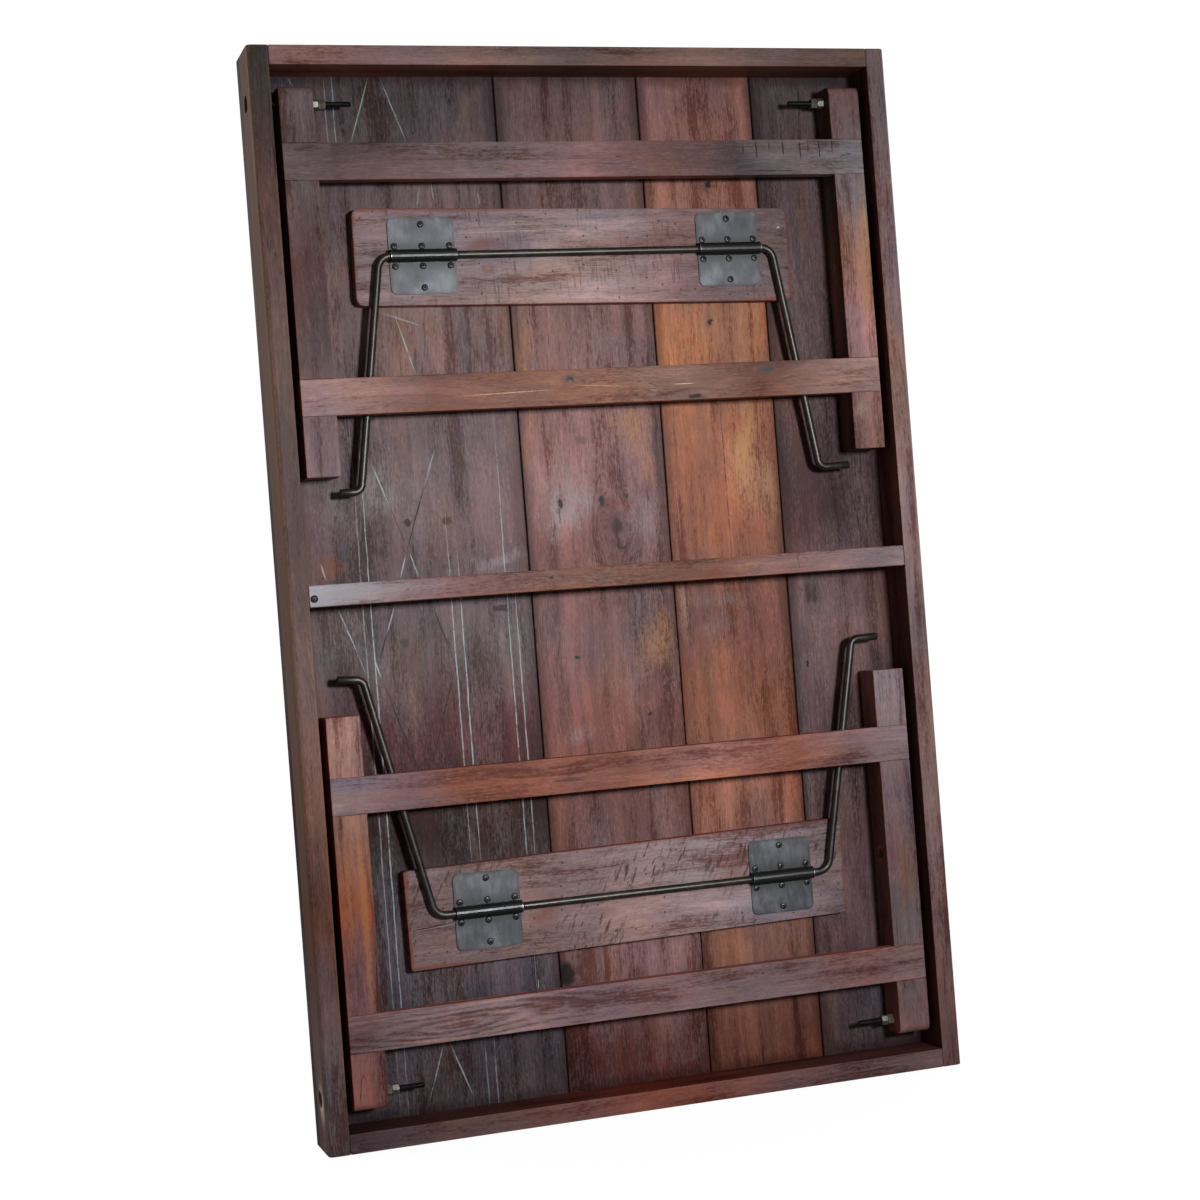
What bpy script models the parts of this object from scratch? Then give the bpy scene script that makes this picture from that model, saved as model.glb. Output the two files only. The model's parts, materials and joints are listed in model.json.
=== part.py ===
"""Folding table: a plank top on a rim, two hinged leg frames that fold into the rim, and two wire braces.

The table stands on one short end with both leg frames folded. X runs across its width, Y from its underside (-Y) to
the face of its top (+Y), and Z up along its length. The origin is under the middle of the standing end.
"""

import math

import bmesh
import bpy
from mathutils import Vector

# Table top
LENGTH = 1.220
WIDTH = 0.766
THICKNESS = 0.072
PLANK_T = 0.019
PLANK_SEAMS = (-0.091, 0.084, 0.228)
PLANK_GAP = 0.0010
SIDE_RAIL_W = 0.024
END_RAIL_W = 0.022
RAIL_ROUND = 0.006
BATTEN_Z = 0.6120
BATTEN_W = 0.0238
# The batten's screw: how far it is from the batten's left end, and its height from the batten's middle
BATTEN_SCREW = (0.0052, -0.0030)
FIT = 0.0003
EDGE = 0.0010

# Leg frames, the same at both ends of the table
LEG_W = 0.0386
LEG_D = 0.0385
LEG_OUTER_X = 0.3496
LEG_INSET = 0.0093
LEG_END = 0.0429
LEG_LENGTH = 0.4345
LEG_END_ROUND = 0.010
PIVOT = 0.0595
STRETCHER_T = 0.0165
STRETCHERS = {"pivot": (0.1067, 0.1483), "foot": (0.3687, 0.4098)}
SOCKET = 0.198
SOCKET_R = 0.0065
SOCKET_DEPTH = 0.020

# Pivot bolts and nuts
BOLT_R = 0.0032
BOLT_TIP_X = 0.2655
HEAD_AF = 0.0110
HEAD_T = 0.0050
COUNTERBORE_R = 0.0098
COUNTERBORE_DEPTH = 0.010
NUT_AF = 0.0105
NUT_T = 0.0078

# Wire braces and the boards and plates that hold them
BOARD_T = 0.015
PLATE_W = 0.0775
PLATE_H = 0.087
PLATE_T = 0.0015
PLATE_ROUND = 0.0070
ARM_R = 0.0045
ARM_CLEARANCE = 0.0012
ARM_BEND_R = 0.013
HOOK_BEND_R = 0.010
HOOK_RISE = 0.004
HOOK_TIP_X = 0.3095
CROSS_R = 0.0043
SPIGOT = 0.012
SPIGOT_R = 0.0028
SCREW_HEAD_R = 0.0038
SCREW_HEAD_T = 0.0018
SCREW_R = 0.0017
SCREW_LENGTH = 0.0115
SCREW_SIDES = 10
PILOT_SIDES = 8

# What differs between the two braces: distance of the brace axis from its own end of the table, the board's centre,
# size, turn and corner radius, the plates' middles, and the arms' bends and hook corners
BRACES = {
    "upper": {
        "axis": 0.2305,
        "board": (-0.0085, 0.2340, 0.5285, 0.1105),
        "turn": 0.9,
        "corner": 0.009,
        "plate_x": (-0.1940, 0.1780),
        "bend_x": (-0.2455, 0.2311),
        "hook_x": (-0.2850, 0.2720),
    },
    "lower": {
        "axis": 0.2445,
        "board": (-0.0014, 0.2446, 0.5350, 0.1130),
        "turn": -0.8,
        "corner": 0.003,
        "plate_x": (-0.1752, 0.1843),
        "bend_x": (-0.2374, 0.2434),
        "hook_x": (-0.2900, 0.2860),
    },
}

FRONT_Y = -THICKNESS / 2
PLANK_Y = THICKNESS / 2 - PLANK_T
RAIL_DEPTH = THICKNESS - PLANK_T - FIT
INNER_X = WIDTH / 2 - SIDE_RAIL_W
LEG_Y = FRONT_Y + LEG_INSET
PIVOT_Y = LEG_Y + LEG_D / 2
BOARD_Y = PLANK_Y - FIT - BOARD_T
BARREL_R = ARM_R + ARM_CLEARANCE
BRACE_Y = BOARD_Y - FIT - BARREL_R
SIDES = ((-1, "left"), (1, "right"))

parts = bpy.data.collections.new("folding_table")
cutters = bpy.data.collections.new("cutters")


def clear_scene():
    for obj in list(bpy.data.objects):
        bpy.data.objects.remove(obj, do_unlink=True)
    bpy.context.scene.collection.children.link(parts)
    bpy.context.scene.collection.children.link(cutters)


def material(name, colour, roughness, metallic=0.0):
    mat = bpy.data.materials.new(name)
    mat.use_nodes = True
    shader = mat.node_tree.nodes["Principled BSDF"]
    shader.inputs["Base Color"].default_value = (*colour, 1.0)
    shader.inputs["Roughness"].default_value = roughness
    shader.inputs["Metallic"].default_value = metallic
    return mat


def pivot_empty(name, y, z):
    """An empty on a joint's axis, which runs along X."""
    empty = bpy.data.objects.new(name, None)
    empty.location = (0.0, y, z)
    parts.objects.link(empty)
    return empty


def place(obj, world, parent=None, collection=parts):
    """Link an object with its origin at a world position, under a parent that isn't turned."""
    collection.objects.link(obj)
    origin = Vector(world)
    if parent is not None:
        obj.parent = parent
        origin -= parent.location
    obj.location = origin
    return obj


def cutter(mesh, world, name="cutter"):
    obj = bpy.data.objects.new(name, mesh)
    obj.hide_render = True
    obj.display_type = "WIRE"
    return place(obj, world, collection=cutters)


def boolean(obj, other, operation="DIFFERENCE"):
    mod = obj.modifiers.new(operation.lower(), "BOOLEAN")
    mod.operation = operation
    mod.solver = "EXACT"
    mod.object = other


def soften(obj, width=EDGE, segments=2):
    mod = obj.modifiers.new("edges", "BEVEL")
    mod.width = width
    mod.segments = segments
    mod.limit_method = "ANGLE"
    mod.angle_limit = math.radians(40)


def box_mesh(name, size, rounds=()):
    """A box about its own middle. Each round is (test of an edge's middle, axis the edge runs along, radius, segments)."""
    bm = bmesh.new()
    bmesh.ops.create_cube(bm, size=1.0)
    bmesh.ops.scale(bm, vec=size, verts=bm.verts)
    for test, axis, radius, segments in rounds:
        edges = []
        for edge in bm.edges:
            along = edge.verts[1].co - edge.verts[0].co
            middle = (edge.verts[1].co + edge.verts[0].co) / 2
            if abs(along[axis]) > 0.99 * along.length and test(middle):
                edges.append(edge)
        bmesh.ops.bevel(bm, geom=edges, offset=radius, segments=segments, profile=0.5, affect="EDGES")
    mesh = bpy.data.meshes.new(name)
    bm.to_mesh(mesh)
    bm.free()
    return mesh


def cylinder_mesh(name, radius, length, axis, segments=16, centres=((0, 0, 0),)):
    """Cylinders of one radius and length, each about a centre, lying along one axis."""
    bm = bmesh.new()
    for centre in centres:
        made = bmesh.ops.create_cone(
            bm, cap_ends=True, segments=segments, radius1=radius, radius2=radius, depth=length
        )
        if axis == "X":
            turn = Vector((0, 0, 1)).rotation_difference(Vector((1, 0, 0))).to_matrix()
        else:
            turn = Vector((0, 0, 1)).rotation_difference(Vector((0, -1, 0))).to_matrix()
        bmesh.ops.rotate(bm, cent=(0, 0, 0), matrix=turn, verts=made["verts"])
        bmesh.ops.translate(bm, vec=centre, verts=made["verts"])
    mesh = bpy.data.meshes.new(name)
    bm.to_mesh(mesh)
    bm.free()
    return mesh


def smooth(obj, degrees=35):
    obj.data.shade_smooth()
    obj.data.set_sharp_from_angle(angle=math.radians(degrees))


def box(name, low, high, mat, parent=None, rounds=(), edge=EDGE):
    """A box between two world corners, its edges softened."""
    size = [b - a for a, b in zip(low, high)]
    centre = [(a + b) / 2 for a, b in zip(low, high)]
    mesh = box_mesh(name, size, rounds)
    mesh.materials.append(mat)
    obj = place(bpy.data.objects.new(name, mesh), centre, parent)
    if edge:
        soften(obj, edge)
    smooth(obj)
    return obj


def curve_to_mesh(curve_obj, name):
    """The mesh of a bevelled or filled curve, its caps welded on."""
    bpy.context.view_layer.update()
    depsgraph = bpy.context.evaluated_depsgraph_get()
    mesh = bpy.data.meshes.new_from_object(curve_obj.evaluated_get(depsgraph))
    bm = bmesh.new()
    bm.from_mesh(mesh)
    bmesh.ops.remove_doubles(bm, verts=bm.verts, dist=0.00001)
    bm.to_mesh(mesh)
    bm.free()
    mesh.name = name
    bpy.data.objects.remove(curve_obj, do_unlink=True)
    return mesh


def bent_path(corners, radii, steps=5):
    """Points along straight runs with an arc of the given radius at each inner corner."""
    points = [Vector(corners[0])]
    for i, radius in enumerate(radii, start=1):
        here = Vector(corners[i])
        back = (Vector(corners[i - 1]) - here).normalized()
        ahead = (Vector(corners[i + 1]) - here).normalized()
        half = back.angle(ahead) / 2
        middle = here + (back + ahead).normalized() * radius / math.sin(half)
        first = here + back * radius / math.tan(half) - middle
        last = here + ahead * radius / math.tan(half) - middle
        sweep = first.angle(last)
        for k in range(steps + 1):
            t = k / steps
            weight_a = math.sin((1 - t) * sweep) / math.sin(sweep)
            weight_b = math.sin(t * sweep) / math.sin(sweep)
            points.append(middle + first * weight_a + last * weight_b)
    points.append(Vector(corners[-1]))
    return points


def wire_mesh(name, points, radius):
    curve = bpy.data.curves.new(name, "CURVE")
    curve.dimensions = "3D"
    curve.bevel_depth = radius
    curve.bevel_resolution = 4
    curve.use_fill_caps = True
    spline = curve.splines.new("POLY")
    spline.points.add(len(points) - 1)
    for spot, point in zip(spline.points, points):
        spot.co = (*point, 1.0)
    obj = bpy.data.objects.new(name, curve)
    cutters.objects.link(obj)
    return curve_to_mesh(obj, name)


def strip_mesh(name, outline, width):
    """A flat outline, drawn in Y and Z, made solid along X about its own middle."""
    curve = bpy.data.curves.new(name, "CURVE")
    curve.dimensions = "2D"
    curve.fill_mode = "BOTH"
    curve.extrude = width / 2
    spline = curve.splines.new("POLY")
    spline.points.add(len(outline) - 1)
    for spot, (y, z) in zip(spline.points, outline):
        spot.co = (y, z, 0.0, 1.0)
    spline.use_cyclic_u = True
    obj = bpy.data.objects.new(name, curve)
    cutters.objects.link(obj)
    mesh = curve_to_mesh(obj, name)
    bm = bmesh.new()
    bm.from_mesh(mesh)
    for vert in bm.verts:
        vert.co = Vector((vert.co.z, vert.co.x, vert.co.y))
    bmesh.ops.recalc_face_normals(bm, faces=bm.faces)
    bm.to_mesh(mesh)
    bm.free()
    return mesh


def build_top(woods, steel):
    """Planks, rim, batten and the screw near the batten's left end."""
    edges = [-WIDTH / 2, *PLANK_SEAMS, WIDTH / 2]
    for i in range(4):
        left = edges[i] + (PLANK_GAP / 2 if i else 0)
        right = edges[i + 1] - (PLANK_GAP / 2 if i < 3 else 0)
        box(f"plank_{i + 1}", (left, PLANK_Y, 0), (right, PLANK_Y + PLANK_T, LENGTH), woods["plank"][i])

    for side, word in SIDES:
        outer_front = (lambda p, s=side: p.x * s > 0 and p.y < 0, 2, RAIL_ROUND, 3)
        xs = sorted((side * INNER_X, side * WIDTH / 2))
        rail = box(
            f"side_rail_{word}",
            (xs[0], FRONT_Y, 0),
            (xs[1], FRONT_Y + RAIL_DEPTH, LENGTH),
            woods["rail"],
            rounds=(outer_front,),
        )
        floor_x = WIDTH / 2 - COUNTERBORE_DEPTH
        for z in (PIVOT, LENGTH - PIVOT):
            sink = cylinder_mesh("sink", COUNTERBORE_R, 2 * COUNTERBORE_DEPTH, "X", 20)
            boolean(rail, cutter(sink, (side * WIDTH / 2, PIVOT_Y, z)))
            bore = cylinder_mesh("bore", BOLT_R + FIT, 4 * SIDE_RAIL_W, "X", 16)
            boolean(rail, cutter(bore, (side * floor_x, PIVOT_Y, z)))

    end_x = INNER_X - FIT
    for word, low in (("bottom", 0.0), ("top", LENGTH - END_RAIL_W)):
        box(
            f"end_rail_{word}",
            (-end_x, FRONT_Y, low),
            (end_x, FRONT_Y + RAIL_DEPTH, low + END_RAIL_W),
            woods["rail"],
        )
    batten = box(
        "centre_batten",
        (-end_x, FRONT_Y, BATTEN_Z - BATTEN_W / 2),
        (end_x, FRONT_Y + RAIL_DEPTH, BATTEN_Z + BATTEN_W / 2),
        woods["batten"],
    )
    sink_depth = SCREW_HEAD_T + 3 * FIT
    mouth = (BATTEN_SCREW[0] - end_x, FRONT_Y, BATTEN_Z + BATTEN_SCREW[1])
    seat = (mouth[0], FRONT_Y + sink_depth, mouth[2])
    sink = cylinder_mesh("screw_sink", SCREW_HEAD_R + 2 * FIT, 2 * sink_depth, "Y", 12)
    boolean(batten, cutter(sink, mouth))
    boolean(batten, pilot_hole(seat))
    screw("batten_screw_left", seat, steel)


def screw_profile():
    """Half of a low round-headed screw, from the middle of its head down to its tip, about its seat at 0."""
    return (
        (0.0, SCREW_HEAD_T),
        (SCREW_HEAD_R * 0.62, SCREW_HEAD_T * 0.86),
        (SCREW_HEAD_R, SCREW_HEAD_T * 0.30),
        (SCREW_HEAD_R, 0.0),
        (SCREW_R, 0.0),
        (SCREW_R, 0.003 - SCREW_LENGTH),
        (0.0, -SCREW_LENGTH),
    )


def screw(name, seat, mat):
    """A screw driven towards +Y, its head's underside just off the seat."""
    mesh = bpy.data.meshes.new(name)
    bm = bmesh.new()
    verts = [bm.verts.new((r, 0.0, z)) for r, z in screw_profile()]
    for a, b in zip(verts, verts[1:]):
        bm.edges.new((a, b))
    bm.to_mesh(mesh)
    bm.free()
    mesh.materials.append(mat)
    obj = place(bpy.data.objects.new(name, mesh), (seat[0], seat[1] - FIT, seat[2]))
    obj.rotation_euler = (math.radians(90), 0, 0)
    turn = obj.modifiers.new("turn", "SCREW")
    turn.axis = "Z"
    turn.steps = SCREW_SIDES
    turn.render_steps = SCREW_SIDES
    turn.use_merge_vertices = True
    turn.merge_threshold = 0.00001
    turn.use_smooth_shade = True
    return obj


def pilot_hole(seat):
    depth = SCREW_LENGTH + 2 * FIT
    mesh = cylinder_mesh("pilot", SCREW_R + FIT, 2 * depth, "Y", PILOT_SIDES)
    return cutter(mesh, seat)


def plate_outline():
    """Outline of a brace plate across its barrel: (y, z) from the back of the leaves, with -Y outwards."""
    half = PLATE_H / 2
    outer = BARREL_R + PLATE_T
    inner = BARREL_R
    steps = 10
    points = [(0.0, -half), (-PLATE_T, -half), (-PLATE_T, -outer)]
    for k in range(steps + 1):
        turn = math.pi * (k / steps - 0.5)
        points.append((-BARREL_R - outer * math.cos(turn), outer * math.sin(turn)))
    points += [(-PLATE_T, outer), (-PLATE_T, half), (0.0, half), (0.0, inner)]
    for k in range(steps + 1):
        turn = math.pi * (0.5 - k / steps)
        points.append((-BARREL_R - inner * math.cos(turn), inner * math.sin(turn)))
    points.append((0.0, -inner))
    return points


def plate_holes():
    """Screw positions on a plate (x, z) from its middle: one near each outer edge, three beside the barrel."""
    near = 0.0114
    far = PLATE_H / 2 - 0.0075
    reach = PLATE_W / 2 - 0.0065
    spots = []
    for side in (1, -1):
        spots.append((0.0, side * far))
        spots += [(x, side * near) for x in (-reach, 0.0, reach)]
    return spots


def build_brace_mounting(end, spec, axis_z, up, wood, plate_steel, screw_steel):
    """One board, its two plates and the screws along the middle of each plate."""
    x, offset, width, height = spec["board"]
    z = LENGTH - offset if up > 0 else offset
    corners = ((lambda p: True, 1, spec["corner"], 3),)
    board = box(
        f"{end}_brace_board",
        (x - width / 2, BOARD_Y, z - height / 2),
        (x + width / 2, BOARD_Y + BOARD_T, z + height / 2),
        wood,
        rounds=corners,
    )
    board.rotation_euler = (0, math.radians(spec["turn"]), 0)

    for (side, word), plate_x in zip(SIDES, spec["plate_x"]):
        name = f"{end}_brace_plate_{word}"
        mesh = strip_mesh(name, plate_outline(), PLATE_W)
        mesh.materials.append(plate_steel)
        back = (plate_x, BOARD_Y - FIT, axis_z)
        plate = place(bpy.data.objects.new(name, mesh), back)
        blank = box_mesh("blank", (PLATE_W, 0.05, PLATE_H), ((lambda p: True, 1, PLATE_ROUND, 4),))
        boolean(plate, cutter(blank, back), "INTERSECT")
        through = [(hx, 0.0, hz) for hx, hz in plate_holes()]
        holes = cylinder_mesh("plate_holes", SCREW_R + FIT, 0.02, "Y", PILOT_SIDES, through)
        boolean(plate, cutter(holes, back))
        smooth(plate)
        middle = [spot for spot in plate_holes() if spot[0] == 0.0]
        for number, (hx, hz) in enumerate(middle, start=1):
            seat = (plate_x + hx, BOARD_Y - FIT - PLATE_T, axis_z + hz)
            boolean(board, pilot_hole(seat))
            screw(f"{end}_plate_screw_{word}_{number}", seat, screw_steel)


def hex_mesh(name, across_flats, length):
    return cylinder_mesh(name, across_flats / math.sqrt(3), length, "X", 6)


def build_pivot(end, z, side, word, bolt_steel, zinc):
    """A bolt through the side rail and the leg, with a nut and a lock nut on its inner end."""
    floor_x = WIDTH / 2 - COUNTERBORE_DEPTH
    length = floor_x + FIT - BOLT_TIP_X + HEAD_T / 2
    middle_x = (floor_x + HEAD_T / 2 + BOLT_TIP_X) / 2
    mesh = cylinder_mesh(f"pivot_bolt_{end}_{word}", BOLT_R, length, "X", 12)
    mesh.materials.append(bolt_steel)
    bolt = place(bpy.data.objects.new(mesh.name, mesh), (side * middle_x, PIVOT_Y, z))
    head = hex_mesh("head", HEAD_AF, HEAD_T)
    boolean(bolt, cutter(head, (side * (floor_x + FIT + HEAD_T / 2), PIVOT_Y, z)), "UNION")
    smooth(bolt)

    face = LEG_OUTER_X - LEG_W
    for count, kind in enumerate(("pivot_nut", "lock_nut")):
        name = f"{kind}_{end}_{word}"
        mesh = hex_mesh(name, NUT_AF, NUT_T)
        mesh.materials.append(zinc)
        x = side * (face - FIT - NUT_T / 2 - count * (NUT_T + FIT))
        nut = place(bpy.data.objects.new(name, mesh), (x, PIVOT_Y, z))
        nut.rotation_euler = (math.radians(13 + 21 * count), 0, 0)
        soften(nut, 0.0006, 1)
        bore = cylinder_mesh("bore", BOLT_R + FIT, 2 * NUT_T, "X", 12)
        boolean(nut, cutter(bore, (x, PIVOT_Y, z)))
        smooth(nut)


def build_leg_frame(end, up, parent, wood):
    """Two legs and two stretchers, the stretchers let flush into the legs' fronts."""

    def height(offset):
        return LENGTH - offset if up > 0 else offset

    def span(near, far):
        return sorted((height(near), height(far)))

    low, high = span(LEG_END, LEG_END + LEG_LENGTH)
    pivot_z = height(PIVOT)
    for side, word in SIDES:
        xs = sorted((side * LEG_OUTER_X, side * (LEG_OUTER_X - LEG_W)))
        pivot_end = (lambda p: p.z * up > 0.1, 0, LEG_END_ROUND, 5)
        leg = box(
            f"{end}_leg_{word}",
            (xs[0], LEG_Y, low),
            (xs[1], LEG_Y + LEG_D, high),
            wood,
            parent,
            rounds=(pivot_end,),
        )
        middle_x = side * (LEG_OUTER_X - LEG_W / 2)
        for near, far in STRETCHERS.values():
            z0, z1 = span(near, far)
            notch = box_mesh("lap", (2 * LEG_W, 2 * (STRETCHER_T + FIT), z1 - z0 + 2 * FIT))
            boolean(leg, cutter(notch, (middle_x, LEG_Y, (z0 + z1) / 2)))
        bore = cylinder_mesh("bore", BOLT_R + FIT, 2 * LEG_W, "X", 16)
        boolean(leg, cutter(bore, (middle_x, PIVOT_Y, pivot_z)))
        socket = cylinder_mesh("socket", SOCKET_R, 2 * SOCKET_DEPTH, "X", 16)
        socket_z = pivot_z - up * SOCKET
        boolean(leg, cutter(socket, (side * (LEG_OUTER_X - LEG_W), PIVOT_Y, socket_z)))

    for kind, (near, far) in STRETCHERS.items():
        z0, z1 = span(near, far)
        box(
            f"{end}_stretcher_{kind}",
            (-LEG_OUTER_X, LEG_Y, z0),
            (LEG_OUTER_X, LEG_Y + STRETCHER_T, z1),
            wood,
            parent,
        )


def build_brace(end, spec, up, parent, arm_steel):
    """Two bent arms joined by a cross rod with a thin pin in each arm. The arms turn in the plates' barrels."""
    socket_y = PIVOT_Y - SOCKET
    reach = math.hypot(spec["axis"] - PIVOT, BRACE_Y - socket_y)
    ends = []
    for (side, word), plate_x, bend_x, hook_x in zip(SIDES, spec["plate_x"], spec["bend_x"], spec["hook_x"]):
        inner_x = plate_x - side * (PLATE_W / 2 + 0.002)
        corners = (
            (inner_x, 0, 0),
            (bend_x, 0, 0),
            (hook_x, 0, -up * (reach - HOOK_RISE)),
            (side * HOOK_TIP_X, 0, -up * reach),
        )
        name = f"{end}_arm_{word}"
        mesh = wire_mesh(name, bent_path(corners, (ARM_BEND_R, HOOK_BEND_R)), ARM_R)
        mesh.materials.append(arm_steel)
        arm = place(bpy.data.objects.new(name, mesh), parent.location, parent)
        hole = cylinder_mesh("spigot_hole", SPIGOT_R + FIT, 2 * (SPIGOT + FIT), "X", 12)
        boolean(arm, cutter(hole, Vector((inner_x, 0, 0)) + parent.location))
        smooth(arm, 50)
        ends.append(inner_x - side * FIT)
    name = f"{end}_cross_rod"
    mesh = cylinder_mesh(name, CROSS_R, ends[1] - ends[0], "X", 20)
    mesh.materials.append(arm_steel)
    rod = bpy.data.objects.new(name, mesh)
    middle = Vector(((ends[0] + ends[1]) / 2, 0, 0)) + parent.location
    place(rod, middle, parent)
    pins = cylinder_mesh("spigots", SPIGOT_R, ends[1] - ends[0] + 2 * (SPIGOT + FIT), "X", 12)
    boolean(rod, cutter(pins, middle), "UNION")
    smooth(rod)


def main():
    clear_scene()
    woods = {
        "plank": [
            material("plank_dark", (0.060, 0.028, 0.024), 0.45),
            material("plank_brown", (0.110, 0.046, 0.030), 0.42),
            material("plank_orange", (0.170, 0.064, 0.030), 0.40),
            material("plank_plum", (0.065, 0.030, 0.028), 0.45),
        ],
        "rail": material("rim_wood", (0.085, 0.036, 0.027), 0.42),
        "batten": material("batten_wood", (0.120, 0.050, 0.034), 0.42),
        "frame": material("leg_wood", (0.115, 0.045, 0.032), 0.40),
        "board": material("board_wood", (0.190, 0.085, 0.070), 0.55),
    }
    arm_steel = material("arm_steel", (0.030, 0.027, 0.025), 0.38, 1.0)
    plate_steel = material("plate_steel", (0.105, 0.120, 0.130), 0.42, 1.0)
    screw_steel = material("screw_steel", (0.050, 0.050, 0.052), 0.45, 1.0)
    bolt_steel = material("bolt_steel", (0.025, 0.025, 0.025), 0.50, 1.0)
    zinc = material("zinc", (0.560, 0.540, 0.500), 0.35, 1.0)

    build_top(woods, screw_steel)
    for end, up in (("upper", 1), ("lower", -1)):
        spec = BRACES[end]
        pivot_z = LENGTH - PIVOT if up > 0 else PIVOT
        axis_z = LENGTH - spec["axis"] if up > 0 else spec["axis"]
        leg_axis = pivot_empty(f"{end}_leg_axis", PIVOT_Y, pivot_z)
        brace_axis = pivot_empty(f"{end}_brace_axis", BRACE_Y, axis_z)
        build_leg_frame(end, up, leg_axis, woods["frame"])
        build_brace(end, spec, up, brace_axis, arm_steel)
        build_brace_mounting(end, spec, axis_z, up, woods["board"], plate_steel, screw_steel)
        for side, word in SIDES:
            build_pivot(end, pivot_z, side, word, bolt_steel, zinc)


main()
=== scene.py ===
"""Looks of the folding table: wood and metal finishes, finer hardware, floor, light and camera."""

import json
import math

import bmesh
import bpy
from mathutils import Matrix, Vector


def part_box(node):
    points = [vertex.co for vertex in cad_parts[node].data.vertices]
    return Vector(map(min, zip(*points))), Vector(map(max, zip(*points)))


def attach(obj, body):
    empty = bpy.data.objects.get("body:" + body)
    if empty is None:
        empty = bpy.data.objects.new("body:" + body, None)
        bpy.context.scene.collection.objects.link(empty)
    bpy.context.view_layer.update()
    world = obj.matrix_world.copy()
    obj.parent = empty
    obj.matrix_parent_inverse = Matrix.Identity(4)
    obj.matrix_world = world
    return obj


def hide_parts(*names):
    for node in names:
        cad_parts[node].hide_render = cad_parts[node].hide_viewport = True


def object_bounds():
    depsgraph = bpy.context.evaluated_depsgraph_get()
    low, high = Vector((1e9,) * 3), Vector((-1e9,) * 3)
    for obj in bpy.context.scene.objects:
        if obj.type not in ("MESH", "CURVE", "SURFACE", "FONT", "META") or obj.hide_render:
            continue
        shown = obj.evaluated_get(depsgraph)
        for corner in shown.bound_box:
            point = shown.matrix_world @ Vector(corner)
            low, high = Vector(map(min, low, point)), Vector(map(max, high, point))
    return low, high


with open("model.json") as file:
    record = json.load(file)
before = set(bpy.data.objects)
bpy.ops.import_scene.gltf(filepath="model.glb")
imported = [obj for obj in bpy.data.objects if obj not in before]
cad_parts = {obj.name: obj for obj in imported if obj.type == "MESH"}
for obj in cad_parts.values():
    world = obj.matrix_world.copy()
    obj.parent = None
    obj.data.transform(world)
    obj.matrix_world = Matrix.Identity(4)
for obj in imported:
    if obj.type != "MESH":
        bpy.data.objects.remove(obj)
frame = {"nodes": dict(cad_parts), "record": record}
cad_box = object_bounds()

# Camera, in metres and in the table's own axes
CAMERA_AT = (-0.7926, -2.4301, 0.5657)
CAMERA_TURN = (90.444, 4.358, -17.727)
CAMERA_LENS = 66.11
CAMERA_SENSOR = 36.0

# Light
KEY_AT = Vector((0.5, -2.6, 0.9))
KEY_AIM = Vector((-0.02, 0.0, 0.62))
KEY_SIZE = 0.34
KEY_WATTS = 6.0
KEY_SPREAD = 40.0
FILL_AT = Vector((-2.4, 1.6, 1.5))
FILL_SIZE = 1.6
FILL_WATTS = 40.0
FILL_SPREAD = 180.0
WORLD_COLOUR = (1.0, 0.93, 0.88)
WORLD_STRENGTH = 0.2

# Hardware
ARM_SIDES = 24
NUT_SIDES = 48
BOLT_SIDES = 36
SCREW_SIDES = 32
TIP_LONGER = 0.019
ARM_BEND_R = 0.016
HOOK_BEND_R = 0.01
# Each arm's bend x, its hook's bend x, and how far the hook's bend is set back towards the pivot
BENDS = {
    "upper_arm_left": (-0.2455, -0.2855, 0.0),
    "upper_arm_right": (0.2311, 0.272, -0.001),
    "lower_arm_left": (-0.2374, -0.3, 0.002),
    "lower_arm_right": (0.2434, 0.296, 0.001),
}
NUT_FLATS = 0.0105
NUT_BORE_R = 0.0035
BOLT_FLATS = 0.011
BOLT_HEAD_T = 0.005
BOLT_R = 0.0032
BOLT_SHANK = 0.058
THREAD_PITCH = 0.001
THREAD_DEPTH = 0.00055
SCREW_HEAD_R = 0.0038
SCREW_HEAD_T = 0.0018
SCREW_R = 0.0017
SCREW_LENGTH = 0.0115
CROSS_ARM = 0.0024
CROSS_HALF = 0.00062
CROSS_DEPTH = 0.0016
ROW_SCREW_X = 0.03225
ROW_SCREW_Z = 0.0114
BARREL_R = 0.0072

UNDERSIDE_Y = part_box("plank_1")[0].y
TOP_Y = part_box("plank_1")[1].y
TABLE_LENGTH = cad_box[1].z - cad_box[0].z
INNER_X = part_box("side_rail_right")[0].x
END_RAIL_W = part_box("end_rail_bottom")[1].z


# Shader helper


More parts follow.
